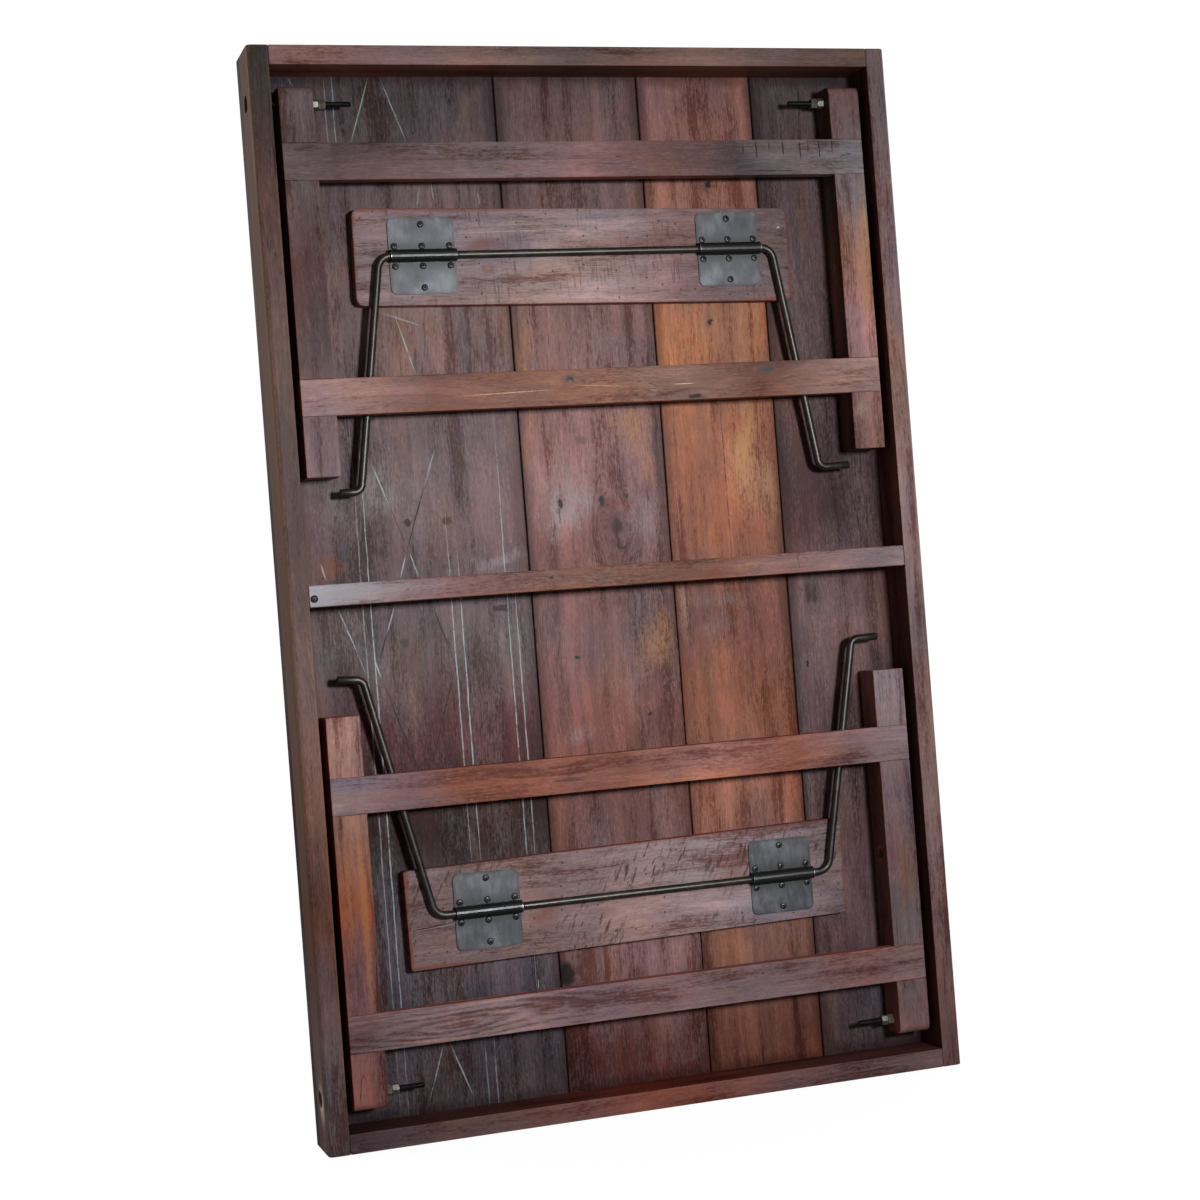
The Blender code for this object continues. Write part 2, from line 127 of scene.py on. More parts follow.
class Shader:
    """Wires up one material's nodes. Values passed in and out are numbers, tuples or a node's outputs."""

    def __init__(self, name):
        self.material = bpy.data.materials.new(name)
        self.material.use_nodes = True
        self.tree = self.material.node_tree
        self.surface = self.tree.nodes["Principled BSDF"]
        self.point = self.new("TexCoord").outputs["Object"]

    def new(self, kind):
        return self.tree.nodes.new("ShaderNode" + kind)

    def feed(self, socket, value):
        if isinstance(value, bpy.types.NodeSocket):
            self.tree.links.new(value, socket)
        elif socket.type == "RGBA" and len(value) == 3:
            socket.default_value = (*value, 1.0)
        else:
            socket.default_value = value

    def math(self, operation, *values, clamp=False):
        node = self.new("Math")
        node.operation = operation
        node.use_clamp = clamp
        for socket, value in zip(node.inputs, values):
            self.feed(socket, value)
        return node.outputs[0]

    def times(self, a, b):
        return self.math("MULTIPLY", a, b)

    def plus(self, a, b):
        return self.math("ADD", a, b)

    def minus(self, a, b):
        return self.math("SUBTRACT", a, b)

    def affine(self, value, factor, offset):
        return self.math("MULTIPLY_ADD", value, factor, offset)

    def vector(self, operation, *values):
        node = self.new("VectorMath")
        node.operation = operation
        for socket, value in zip(node.inputs, values):
            self.feed(socket, value)
        return node.outputs["Value"] if operation in ("LENGTH", "DOT_PRODUCT") else node.outputs[0]

    def split(self, vector):
        node = self.new("SeparateXYZ")
        self.feed(node.inputs[0], vector)
        return node.outputs

    def join(self, x, y, z):
        node = self.new("CombineXYZ")
        for socket, value in zip(node.inputs, (x, y, z)):
            self.feed(socket, value)
        return node.outputs[0]

    def noise(self, vector, scale=1.0, detail=2.0, roughness=0.5, distortion=0.0, colour=False):
        node = self.new("TexNoise")
        self.feed(node.inputs["Vector"], vector)
        node.inputs["Scale"].default_value = scale
        node.inputs["Detail"].default_value = detail
        node.inputs["Roughness"].default_value = roughness
        node.inputs["Distortion"].default_value = distortion
        return node.outputs[1] if colour else node.outputs[0]

    def cells(self, vector, scale):
        """Distance to the nearest of scattered points, and a random colour for each point."""
        node = self.new("TexVoronoi")
        node.voronoi_dimensions = "2D"
        self.feed(node.inputs["Vector"], vector)
        node.inputs["Scale"].default_value = scale
        return node.outputs["Distance"], node.outputs["Color"]

    def smooth(self, value, low, high, start=0.0, end=1.0):
        node = self.new("MapRange")
        node.interpolation_type = "SMOOTHSTEP"
        for socket, part in zip(node.inputs, (value, low, high, start, end)):
            self.feed(socket, part)
        return node.outputs[0]

    def mix(self, factor, a, b, blend="MIX"):
        node = self.new("Mix")
        node.data_type = "RGBA"
        node.blend_type = blend
        self.feed(node.inputs[0], factor)
        self.feed(node.inputs[6], a)
        self.feed(node.inputs[7], b)
        return node.outputs[2]

    def tint(self, colour, by, factor=None):
        """The colour multiplied by another, wholly or by a factor."""
        product = self.mix(1.0, colour, by, "MULTIPLY")
        return product if factor is None else self.mix(factor, colour, product)

    def ramp(self, value, stops):
        node = self.new("ValToRGB")
        self.feed(node.inputs[0], value)
        elements = node.color_ramp.elements
        while len(elements) < len(stops):
            elements.new(0.5)
        for element, (place, colour) in zip(elements, stops):
            element.position = place
            element.color = (*colour, 1.0)
        return node.outputs[0]

    def patch(self, point, centre, radii, strength, turn=0.0, inner=0.45):
        """Mask of a soft-edged ellipsoid, turned about Y. A long thin one is a scratch."""
        node = self.new("Mapping")
        node.vector_type = "TEXTURE"
        self.feed(node.inputs["Vector"], point)
        node.inputs["Location"].default_value = centre
        node.inputs["Rotation"].default_value = (0.0, turn, 0.0)
        node.inputs["Scale"].default_value = radii
        return self.smooth(self.vector("LENGTH", node.outputs[0]), inner, 1.12, strength, 0.0)

    def scratch(self, point, line):
        """Mask of a thin straight mark between two places on the XZ plane."""
        x0, z0, x1, z1, width, strength = line
        centre = ((x0 + x1) / 2, 0.0, (z0 + z1) / 2)
        half = 0.54 * math.hypot(x1 - x0, z1 - z0)
        turn = math.atan2(x1 - x0, z1 - z0)
        return self.patch(point, centre, (width * 0.75, ANY, half), abs(strength), turn, 0.6)

    def carried(self, name):
        """A value that the mesh carries, 0 where it has none."""
        node = self.new("Attribute")
        node.attribute_name = name
        return node.outputs["Fac"]

    def bump(self, height, strength, distance):
        node = self.new("Bump")
        node.inputs["Strength"].default_value = strength
        node.inputs["Distance"].default_value = distance
        self.feed(node.inputs["Height"], height)
        self.tree.links.new(node.outputs[0], self.surface.inputs["Normal"])

    def edge_distance(self, low, high):
        """How far a point on a box's face is from that face's nearest edge."""
        inside = self.vector("SUBTRACT", self.point, tuple(low))
        outside = self.vector("SUBTRACT", tuple(high), self.point)
        x, y, z = self.split(self.vector("MINIMUM", inside, outside))
        nearest_two = self.math("MINIMUM", self.math("MAXIMUM", x, y), z)
        return self.math("MAXIMUM", self.math("MINIMUM", x, y), nearest_two)


# A radius that reaches through the whole piece
ANY = 9.0


# Wood

# Layers of grain: detail per metre across and along it, shift, octaves and roughness
BANDS = (62.0, 1.6, 0.0, 4.0, 0.6)
STREAKS = (760.0, 42.0, 5.0, 3.0, 0.65)
PORES = (1500.0, 90.0, 9.0, 1.0, 0.5)
CLOUDS = (24.0, 7.0, 2.0, 4.0, 0.6)
FLECKS = (430.0, 190.0, 7.0, 2.0, 0.7)
HUES = (14.0, 3.2, 11.0, 5.0, 0.62)
HAZE = (30.0, 9.0, 14.0, 5.0, 0.65)
CRACKS = (46.0, 1.9, 21.0, 3.0, 0.6)
CRACKED_AREAS = (9.0, 4.0, 27.0, 3.0, 0.6)

# How much bands, streaks, clouds and flecks count in the grain
GRAIN_WEIGHTS = (1.65, 0.8, 1.45, 0.6)
GRAIN_DRIFT = 0.02
KNOT_REACH = 4.5
KNOT_HALO = 2.6
CRISP_SPOT = 0.0055
SOFT_SPOT = 0.0125
DOT_SPACING = 0.02
CRACK_WEIGHT = 0.75
WOOD_ROUGHNESS = 0.48

DARK_GRAIN = (0.47, 0.31, 0.28)
LIGHT_GRAIN = (1.56, 1.5, 1.47)
PALER = (1.25, 1.13, 1.02)
WARMER = (1.28, 1.1, 0.82)
COOLER = (0.66, 0.74, 0.84)
INK = (0.016, 0.011, 0.012)
RUST_RED = (0.15, 0.045, 0.022)
# Whitish marks, partly bloom of the finish and partly painted sheen
SHEEN_AND_BLOOM = (0.165, 0.145, 0.155)
SLATE = (0.036, 0.038, 0.046)
OCHRE = (0.25, 0.115, 0.04)
BARE = (0.33, 0.22, 0.14)
# Edge tints as (width, weight, colour): pale frame edges, partly wear and partly painted highlight
FRAME_EDGE = (0.0012, 0.22, (0.22, 0.12, 0.08))
# and near-black plank seams
SEAM_EDGE = (0.0016, 0.75, (0.016, 0.01, 0.009))
SHOW_TONE = (0.95, 0.82, 0.72)


def shade(colour, factor, grey=0.0):
    """A darker or lighter tone of a colour, drawn towards grey by a share."""
    level = sum(colour) / 3
    return tuple(min(1.0, factor * (c + (level - c) * grey)) for c in colour)


def widened(radii, factor):
    return tuple(r * factor if r < ANY else r for r in radii)


def breadth(spot):
    return min(spot[1][0], spot[1][2])


class Wood(Shader):
    """Old oiled wood with grain along one axis, built up layer by layer in self.colour."""

    def __init__(self, name, box, grain, seed):
        super().__init__(name)
        self.box = box
        self.upright = grain == "Z"
        self.x, self.y, self.z = self.split(self.point)
        self.offset = 3.7 * seed
        self.across, self.along = (self.x, self.z) if self.upright else (self.z, self.x)
        self.first, self.last = (box[0].z, box[1].z) if self.upright else (box[0].x, box[1].x)

    def cover(self, mask, colour):
        self.colour = self.mix(mask, self.colour, colour)

    def centred(self, value, weight):
        return self.times(self.minus(value, 0.5), weight)

    def layer(self, kind):
        """Noise drawn out along the bent grain."""
        fine, long, shift, detail, roughness = kind
        place = self.join(
            self.affine(self.bent, fine, self.offset + shift),
            self.times(self.y, fine),
            self.affine(self.along, long, self.offset),
        )
        return self.noise(place, 1.0, detail, roughness)

    def bend_grain(self, spots):
        """Slow bends in the grain, and tighter ones round each knot."""
        drift = self.noise(self.vector("ADD", self.point, (self.offset, 0.0, self.offset)), 5.0, 1.0)
        self.bent = self.affine(self.minus(drift, 0.5), GRAIN_DRIFT, self.across)
        for centre, radii, strength, colour in spots:
            if strength <= 1.0:
                continue
            middle = centre[0] if self.upright else centre[2]
            pull = self.patch(self.point, centre, widened(radii, KNOT_REACH), 0.65)
            away = self.minus(self.across, middle)
            self.bent = self.minus(self.bent, self.times(away, pull))

    def make_layers(self):
        self.bands = self.layer(BANDS)
        self.streaks = self.layer(STREAKS)
        self.pores = self.layer(PORES)
        self.clouds = self.layer(CLOUDS)
        self.flecks = self.layer(FLECKS)
        self.hues = self.layer(HUES)
        self.haze = self.layer(HAZE)
        self.dry = self.plus(self.centred(self.streaks, 0.75), self.centred(self.flecks, 0.55))

    def tone(self, tones, hue, contrast, rings):
        """Base tone along the piece, with hue drift and light and dark grain."""
        length = self.last - self.first
        shifted = self.affine(self.minus(self.hues, 0.5), 0.16, self.along)
        placed = self.math("DIVIDE", self.minus(shifted, self.first), length)
        body = self.ramp(placed, tuple(((place - self.first) / length, colour) for place, colour in tones))
        wide = self.vector("ADD", self.point, (self.offset, self.offset, 0.0))
        blotches = self.noise(wide, 9.0, 4.0, 0.55)
        body = self.tint(body, PALER, self.smooth(blotches, 0.38, 0.66))
        body = self.tint(body, WARMER, self.smooth(self.hues, 0.5, 0.66, 0.0, hue))
        self.body = self.tint(body, COOLER, self.smooth(self.hues, 0.34, 0.48, hue, 0.0))

        level = 0.5
        parts = (self.bands, self.streaks, self.clouds, self.flecks)
        for part, weight in zip(parts, GRAIN_WEIGHTS):
            level = self.plus(level, self.centred(part, weight * contrast))
        if rings:
            level = self.plus(level, self.cathedral(*rings))
        dark = self.tint(self.body, DARK_GRAIN)
        light = self.tint(self.body, LIGHT_GRAIN)
        self.colour = self.mix(self.smooth(level, 0.12, 0.52), dark, self.body)
        self.cover(self.smooth(level, 0.5, 0.95), light)

    def cathedral(self, ring_across, ring_along, squeeze, count, weight):
        """Long flat-sawn arches round one place, fading along the grain."""
        a = self.minus(self.bent, ring_across)
        b = self.times(self.minus(self.along, ring_along), squeeze)
        reach = self.math("POWER", self.plus(self.times(a, a), self.times(b, b)), 0.5)
        wave = self.math("SINE", self.affine(reach, count, self.times(self.clouds, 7.0)))
        away = self.math("ABSOLUTE", self.minus(self.along, ring_along))
        return self.times(wave, self.smooth(away, 0.04, 0.26, weight, 0.0))

    def film_and_sheen(self, bloom, bloom_colour):
        """Whitish film in broad streaks, partly dry bloom of the finish and partly painted sheen."""
        film = self.smooth(self.plus(self.haze, self.dry), 0.42, 0.8)
        self.cover(self.times(film, bloom), bloom_colour)

    def saw_marks(self, lean, width, length, weight, saw_colour):
        """Short torn dashes left across the grain by a saw."""
        slant = self.affine(self.z, lean, self.x)
        tears = self.join(self.times(slant, 1.0 / width), self.offset, self.times(self.z, 1.0 / length))
        torn = self.smooth(self.noise(tears, 1.0, 2.0, 0.6), 0.54, 0.68)
        wide = self.noise(self.vector("ADD", self.point, (0.0, 0.0, self.offset)), 13.0, 3.0)
        patches = self.smooth(wide, 0.46, 0.6, 0.12)
        self.cover(self.times(torn, self.times(patches, weight)), saw_colour)

    def open_pores(self, middle_tone):
        self.pore_mask = self.smooth(self.plus(self.pores, self.centred(self.bands, 0.5)), 0.55, 0.7)
        self.pore_mask = self.times(self.pore_mask, self.smooth(self.clouds, 0.36, 0.62, 1.0, 0.25))
        self.cover(self.times(self.pore_mask, 0.48), shade(middle_tone, 0.26))

    def jittered(self, scale, detail, reach):
        """Object coordinates pushed about in the plane of the planks, for ragged outlines."""
        noise = self.noise(self.point, scale, detail, 0.6, colour=True)
        push = self.vector("MULTIPLY", self.vector("SUBTRACT", noise, (0.5, 0.5, 0.5)), (reach, 0.0, reach))
        return self.vector("ADD", self.point, push)

    def stains(self, spots, middle_tone):
        """Knots, nail holes and stains, the broadest first."""
        frayed = self.jittered(17.0, 4.0, 0.075)
        uneven = self.jittered(210.0, 3.0, 0.0095)
        brushed = self.smooth(self.plus(self.haze, self.dry), 0.3, 0.68, 0.15, 1.0)
        for spot in sorted(spots, key=breadth, reverse=True):
            centre, radii, strength, spot_colour = spot
            if strength > 1.0:
                halo = self.patch(uneven, centre, widened(radii, KNOT_HALO), 0.5, inner=0.1)
                self.cover(halo, shade(middle_tone, 0.5, 0.5))
                mask = self.patch(uneven, centre, radii, 0.97, inner=0.6)
            elif breadth(spot) < CRISP_SPOT:
                mask = self.patch(uneven, centre, radii, strength, inner=0.6)
            elif breadth(spot) < SOFT_SPOT:
                mask = self.times(self.patch(uneven, centre, radii, strength, inner=0.0), brushed)
            else:
                mask = self.times(self.patch(frayed, centre, radii, strength, inner=0.1), brushed)
            self.cover(mask, spot_colour)

    def cracks(self, middle_tone):
        """Dark splits along the grain, in patches."""
        field = self.layer(CRACKS)
        ridge = self.smooth(self.math("ABSOLUTE", self.minus(field, 0.5)), 0.0, 0.0065, 1.0, 0.0)
        where = self.smooth(self.layer(CRACKED_AREAS), 0.52, 0.62, 0.0, CRACK_WEIGHT)
        self.cover(self.times(ridge, where), shade(middle_tone, 0.18))

    def nail_dots(self, share):
        """Small dark dots at scattered places, on the given share of them."""
        gap, pick = self.cells(self.join(self.x, self.z, 0.0), 1.0 / DOT_SPACING)
        chosen = self.math("GREATER_THAN", self.split(pick)[0], 1.0 - share)
        hole = self.times(self.smooth(gap, 0.035, 0.08, 1.0, 0.0), chosen)
        self.cover(self.times(hole, 0.8), (0.03, 0.014, 0.012))

    def rubbed_lines(self, lines, line_colour):
        """Thin straight marks. Returns the mask of the pale ones, or None."""
        shake = self.times(self.minus(self.noise(self.point, 30.0, 2.0), 0.5), 0.0022)
        place = self.join(self.plus(self.x, shake), 0.0, self.z)
        broken = self.smooth(self.noise(self.point, 75.0, 4.0, 0.75), 0.32, 0.54, 0.2, 1.0)
        pale = None
        for sign, line_tone in ((-1, INK), (1, line_colour)):
            masks = [self.scratch(place, line) for line in lines if line[5] * sign > 0]
            if not masks:
                continue
            total = masks[0]
            for mask in masks[1:]:
                total = self.math("MAXIMUM", total, mask)
            total = self.times(total, broken)
            self.cover(total, line_tone)
            pale = total if sign > 0 else pale
        return pale

    def past_rails(self):
        """Distances inwards from the side rails and from the end rails."""
        from_side = self.minus(INNER_X, self.math("ABSOLUTE", self.x))
        from_middle = self.math("ABSOLUTE", self.minus(self.z, TABLE_LENGTH / 2))
        return from_side, self.minus(TABLE_LENGTH / 2 - END_RAIL_W, from_middle)

    def grime(self, width, weight):
        """Painted shade and dirt in the corners of the well and along the seams."""
        sunk = self.math("MINIMUM", *self.past_rails())
        sunk = self.math("MINIMUM", sunk, self.edge_distance(*self.box))
        sunk = self.affine(self.minus(self.clouds, 0.5), -2.2 * width, sunk)
        outside = self.math("ABSOLUTE", self.x)
        inside = self.smooth(outside, INNER_X + 0.001, INNER_X + 0.004, weight, 0.0)
        shade_and_dirt = self.times(self.smooth(sunk, 0.0, width, 1.0, 0.0), inside)
        self.colour = self.tint(self.colour, (0.36, 0.3, 0.28), shade_and_dirt)

    # Tint along a piece's edges: pale on frame and rim edges (partly wear, partly painted highlight),
    # near-black on plank seams, and a dark red painted shadow fringe on the boards.
    def edge_tint(self, width, weight, edge_colour):
        edge_reach = self.times(self.smooth(self.clouds, 0.36, 0.6, 0.25, 1.5), width)
        worn = self.smooth(self.edge_distance(*self.box), self.times(edge_reach, 0.3), edge_reach, 1.0, 0.0)
        self.cover(self.times(worn, weight), edge_colour)

    def turned_faces(self, colour):
        """Shaded tint on faces inside the well that don't look out of it."""
        normal = self.tree.nodes["Texture Coordinate"].outputs["Normal"]
        turned = self.math("ABSOLUTE", self.split(normal)[1])
        sideways = self.smooth(turned, 0.3, 0.75, 1.0, 0.0)
        inwards = self.math("MINIMUM", *self.past_rails())
        within = self.smooth(inwards, -0.0015, -0.0004)
        self.colour = self.tint(self.colour, colour, self.times(sideways, within))

    def finish(self, pale):
        self.feed(self.surface.inputs["Base Color"], self.colour)
        rough = self.plus(WOOD_ROUGHNESS, self.centred(self.streaks, 0.22))
        rough = self.plus(rough, self.centred(self.haze, 0.35))
        if pale is not None:
            rough = self.affine(pale, 0.25, rough)
        self.feed(self.surface.inputs["Roughness"], rough)
        self.surface.inputs["Specular IOR Level"].default_value = 0.055
        height = self.affine(self.pore_mask, -0.9, self.streaks)
        self.bump(self.affine(self.bands, 1.2, height), 0.16, 0.0003)
        return self.material


def wood(
    name,
    box,
    tones,
    grain="Z",
    seed=0,
    contrast=0.88,
    hue=0.8,
    grime=None,
    # bloom weighs the whitish film, partly dry bloom and partly painted sheen
    bloom=0.25,
    bloom_colour=(0.17, 0.15, 0.158),
    edge=FRAME_EDGE,
    spots=(),
    lines=(),
    rings=None,
    saw=None,
    dots=0.0,
    line_colour=(0.25, 0.305, 0.325),
    sides=(1.35, 0.78, 0.66),
    top=None,
):
    """A piece's wood. Tones are (place along the grain, colour); spots and lines are places on the piece."""
    w = Wood(name, box, grain, seed)
    middle_tone = tuple(sum(c[k] for place, c in tones) / len(tones) for k in range(3))
    w.bend_grain(spots)
    w.make_layers()
    w.tone(tones, hue, contrast, rings)
    w.film_and_sheen(bloom, bloom_colour)
    if saw:
        w.saw_marks(*saw)
    w.open_pores(middle_tone)
    clean = w.colour
    w.stains(spots, middle_tone)
    w.cracks(middle_tone)
    if dots:
        w.nail_dots(dots)
    pale = w.rubbed_lines(lines, line_colour) if lines else None
    if grime:
        w.grime(*grime)
    w.edge_tint(*edge)
    if top:
        face = w.math("GREATER_THAN", w.y, TOP_Y - 0.004)
        w.colour = w.mix(face, w.colour, w.tint(w.mix(0.35, clean, w.body), top))
    w.turned_faces(sides)
    return w.finish(pale)


# Pale rubbed lines on the widest plank. Long pairs run along it, with spans (low, high, weight) at each x.
# Slanting marks between them are (x, z, x, z, width, weight). A negative weight makes a dark line.
LINE_PAIRS = (-0.2892, -0.28, -0.186, -0.1753, -0.1203, -0.1102)
PAIR_SPANS = (
    ((0.0, 0.82, 0.55), (1.1, 1.22, 0.6)),
    ((0.0, 0.82, 0.9), (1.1, 1.22, 0.8)),
    ((0.0, 0.1, 0.55), (0.29, 0.7, 0.75)),
    ((0.0, 0.1, 0.6), (0.29, 0.66, 0.85)),
    ((0.1, 0.83, 0.65),),
    ((0.27, 0.62, 0.7),),
)
SLANTS = (
    (-0.2379, 1.197, -0.2625, 1.124, 0.0011, 0.95),
    (-0.2244, 1.198, -0.199, 1.125, 0.0012, 0.8),
    (-0.3288, 1.196, -0.3262, 1.188, 0.0013, 0.7),
    (-0.1867, 1.073, -0.1921, 1.05, 0.0012, 0.45),
    (-0.1731, 1.075, -0.1718, 1.056, 0.0013, 0.55),
    (-0.1194, 1.066, -0.1173, 1.05, 0.0013, 0.45),
    (-0.2265, 0.921, -0.208, 0.858, 0.0012, 0.8),
    (-0.2415, 0.928, -0.195, 0.912, 0.0016, 0.45),
    (-0.2668, 0.757, -0.25, 0.709, 0.0013, 0.8),
    (-0.25, 0.709, -0.231, 0.654, 0.0008, -0.8),
    (-0.231, 0.654, -0.2225, 0.627, 0.0013, 0.75),
    (-0.1936, 0.769, -0.208, 0.73, 0.0012, 0.55),
    (-0.208, 0.73, -0.234, 0.657, 0.0014, -1.0),
    (-0.236, 0.652, -0.2436, 0.628, 0.0013, 0.75),
    (-0.3335, 0.648, -0.3291, 0.63, 0.0013, 0.8),
    (-0.3173, 0.596, -0.2995, 0.546, 0.0013, 0.75),
    (-0.2995, 0.546, -0.2904, 0.517, 0.0008, 0.45),
    (-0.2531, 0.594, -0.264, 0.566, 0.0013, 0.65),
    (-0.264, 0.566, -0.2749, 0.533, 0.0014, -1.0),
    (-0.2812, 0.54, -0.2745, 0.516, 0.0012, 0.9),
    (-0.2745, 0.516, -0.209, 0.315, 0.0014, -1.0),
    (-0.2089, 0.592, -0.188, 0.528, 0.0014, -1.0),
    (-0.188, 0.522, -0.2236, 0.413, 0.0014, -1.0),
    (-0.238, 0.367, -0.2505, 0.33, 0.0012, -0.85),
    (-0.2345, 0.095, -0.2545, 0.037, 0.0013, 0.8),
    (-0.2256, 0.094, -0.205, 0.035, 0.0013, 0.8),
    (-0.2069, 0.18, -0.2164, 0.146, 0.0012, -0.85),
    (-0.2495, 0.173, -0.2426, 0.146, 0.0012, -0.85),
    (-0.1177, 0.156, -0.1185, 0.145, 0.0012, 0.7),
)
LONG_LINES = tuple(
    (at, low, at, high, 0.0012, 0.88 * weight)
    for at, spans in zip(LINE_PAIRS, PAIR_SPANS)
    for low, high, weight in spans
)


def paint(node, material):
    """Give every slot of a CAD node one material."""
    for slot in frame["nodes"][node].material_slots:
        slot.material = material


def dress(name, marks=(), mark_y=0.0, mark_depth=ANY, spots=(), **looks):
    """Give a CAD node its own wood. Marks are spots seen from the front: x, z, radii, strength, colour."""
    flat = []
    for x, z, rx, rz, strength, colour in marks:
        flat.append(((x, mark_y, z), (rx, mark_depth, rz), strength, colour))
    paint(name, wood(f"{name}_wood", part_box(name), spots=(*flat, *spots), **looks))


def plank(name, **looks):
    """A plank of the top: painted shade and dirt in the corners of the well and along the seams, near-black
    seam edges, marks on the underside only, and a cleaner show face.
    """
    looks.update(edge=SEAM_EDGE, top=SHOW_TONE, grime=(0.016, 0.75))
    dress(name, mark_y=UNDERSIDE_Y, mark_depth=0.004, **looks)


def rim(name, **looks):
    """A rail of the rim, with painted shade on its sides inside the well, and pale edges, partly wear and
    partly painted highlight.
    """
    dress(name, sides=(0.62, 0.38, 0.3), edge=(0.0018, 0.32, (0.17, 0.1, 0.07)), **looks)


def board(name, **looks):
    """A sawn board with a rough dark red fringe of painted shadow along its edges, and many nail dots."""
    looks.update(grain="X", hue=0.55, contrast=0.95, bloom_colour=(0.26, 0.18, 0.165))
    dress(name, edge=(0.005, 0.75, (0.13, 0.04, 0.024)), **looks)


plank(
    "plank_1",
    tones=(
        (0.065, (0.04, 0.03, 0.04)), (0.17, (0.07, 0.055, 0.07)), (0.335, (0.016, 0.006, 0.006)),
        (0.45, (0.038, 0.01, 0.015)), (0.54, (0.06, 0.05, 0.06)), (0.66, (0.055, 0.036, 0.045)),
        (0.75, (0.065, 0.045, 0.055)), (0.9, (0.12, 0.075, 0.075)), (1.16, (0.05, 0.042, 0.055)),
    ),
    seed=1,
    contrast=1.15,
    bloom=0.27,
    lines=LONG_LINES + SLANTS,
    marks=(
        (-0.2312, 0.689, 0.0052, 0.0048, 1.0, (0.035, 0.016, 0.014)),
        (-0.1845, 0.6884, 0.0068, 0.0048, 1.0, (0.035, 0.016, 0.014)),
        (-0.1595, 0.7824, 0.007, 0.006, 0.7, SLATE),
        (-0.305, 0.6595, 0.007, 0.006, 0.8, SLATE),
        (-0.244, 0.5533, 0.005, 0.005, 0.5, INK),
        (-0.127, 0.585, 0.012, 0.005, 0.8, INK),
        (-0.326, 0.642, 0.018, 0.02, 0.7, RUST_RED),
        (-0.198, 1.158, 0.03, 0.03, 0.45, (0.04, 0.034, 0.03)),
        # The whitish marks round the middle of this plank are painted sheen, partly bloom.
        (-0.305, 0.705, 0.03, 0.035, 0.45, SHEEN_AND_BLOOM),
        (-0.225, 0.725, 0.055, 0.06, 0.4, SHEEN_AND_BLOOM),
        (-0.125, 0.636, 0.04, 0.013, 0.6, SHEEN_AND_BLOOM),
        (-0.315, 0.565, 0.03, 0.055, 0.45, SHEEN_AND_BLOOM),
        (-0.262, 0.725, 0.032, 0.038, 0.6, SHEEN_AND_BLOOM),
        (-0.228, 0.53, 0.045, 0.035, 0.45, (0.045, 0.022, 0.02)),
        (-0.134, 0.52, 0.035, 0.035, 0.35, (0.05, 0.026, 0.024)),
        (-0.2, 0.93, 0.05, 0.012, 0.35, SHEEN_AND_BLOOM),
        (-0.179, 0.083, 0.008, 0.01, 0.8, INK),
        (-0.218, 0.56, 0.03, 0.02, 0.4, (0.04, 0.03, 0.028)),
        (-0.205, 0.47, 0.035, 0.09, 0.3, (0.11, 0.045, 0.038)),
    ),
)
plank(
    "plank_2",
    tones=(
        (0.065, (0.065, 0.02, 0.018)), (0.17, (0.16, 0.095, 0.105)), (0.335, (0.08, 0.036, 0.032)),
        (0.45, (0.095, 0.036, 0.032)), (0.54, (0.065, 0.036, 0.04)), (0.66, (0.085, 0.036, 0.036)),
        (0.75, (0.115, 0.06, 0.065)), (0.9, (0.105, 0.06, 0.06)), (1.16, (0.095, 0.06, 0.065)),
    ),
    seed=2,
    contrast=1.05,
    bloom=0.3,
    marks=(
        (-0.0478, 0.7001, 0.003, 0.0062, 1.2, INK),
        (0.003, 0.7014, 0.0034, 0.0075, 1.2, INK),
        (0.0325, 0.705, 0.0034, 0.0034, 1.0, (0.03, 0.02, 0.022)),
        (0.019, 0.6705, 0.0078, 0.0105, 1.3, (0.02, 0.01, 0.008)),
        (0.008, 0.6735, 0.02, 0.019, 0.6, (0.05, 0.036, 0.038)),
        (0.0185, 0.652, 0.0022, 0.012, 0.9, INK),
        (0.0225, 0.645, 0.006, 0.0022, 0.8, INK),
        (-0.05, 0.686, 0.0018, 0.01, 0.7, (0.04, 0.02, 0.018)),
        (-0.0171, 0.7732, 0.011, 0.008, 0.6, (0.06, 0.03, 0.026)),
        (0.01, 0.75, 0.006, 0.02, 0.4, (0.07, 0.036, 0.032)),
        (-0.05, 0.7, 0.042, 0.055, 0.95, SHEEN_AND_BLOOM),
        (0.05, 0.67, 0.035, 0.04, 0.4, SHEEN_AND_BLOOM),
        (-0.08, 0.82, 0.014, 0.13, 0.75, OCHRE),
        (0.05, 0.79, 0.034, 0.034, 0.6, OCHRE),
        (0.068, 0.745, 0.018, 0.045, 0.55, OCHRE),
        (0.06, 0.53, 0.024, 0.05, 0.45, OCHRE),
        (-0.083, 0.158, 0.011, 0.016, 1.2, INK),
        (-0.0411, 0.5209, 0.0034, 0.003, 1.0, INK),
        (0.043, 0.4483, 0.003, 0.003, 1.0, INK),
        (0.004, 0.4536, 0.009, 0.013, 0.5, (0.13, 0.06, 0.04)),
        (-0.04, 0.425, 0.022, 0.016, 0.55, SHEEN_AND_BLOOM),
        (0.0066, 0.56, 0.014, 0.026, 0.55, (0.06, 0.045, 0.046)),
    ),
)
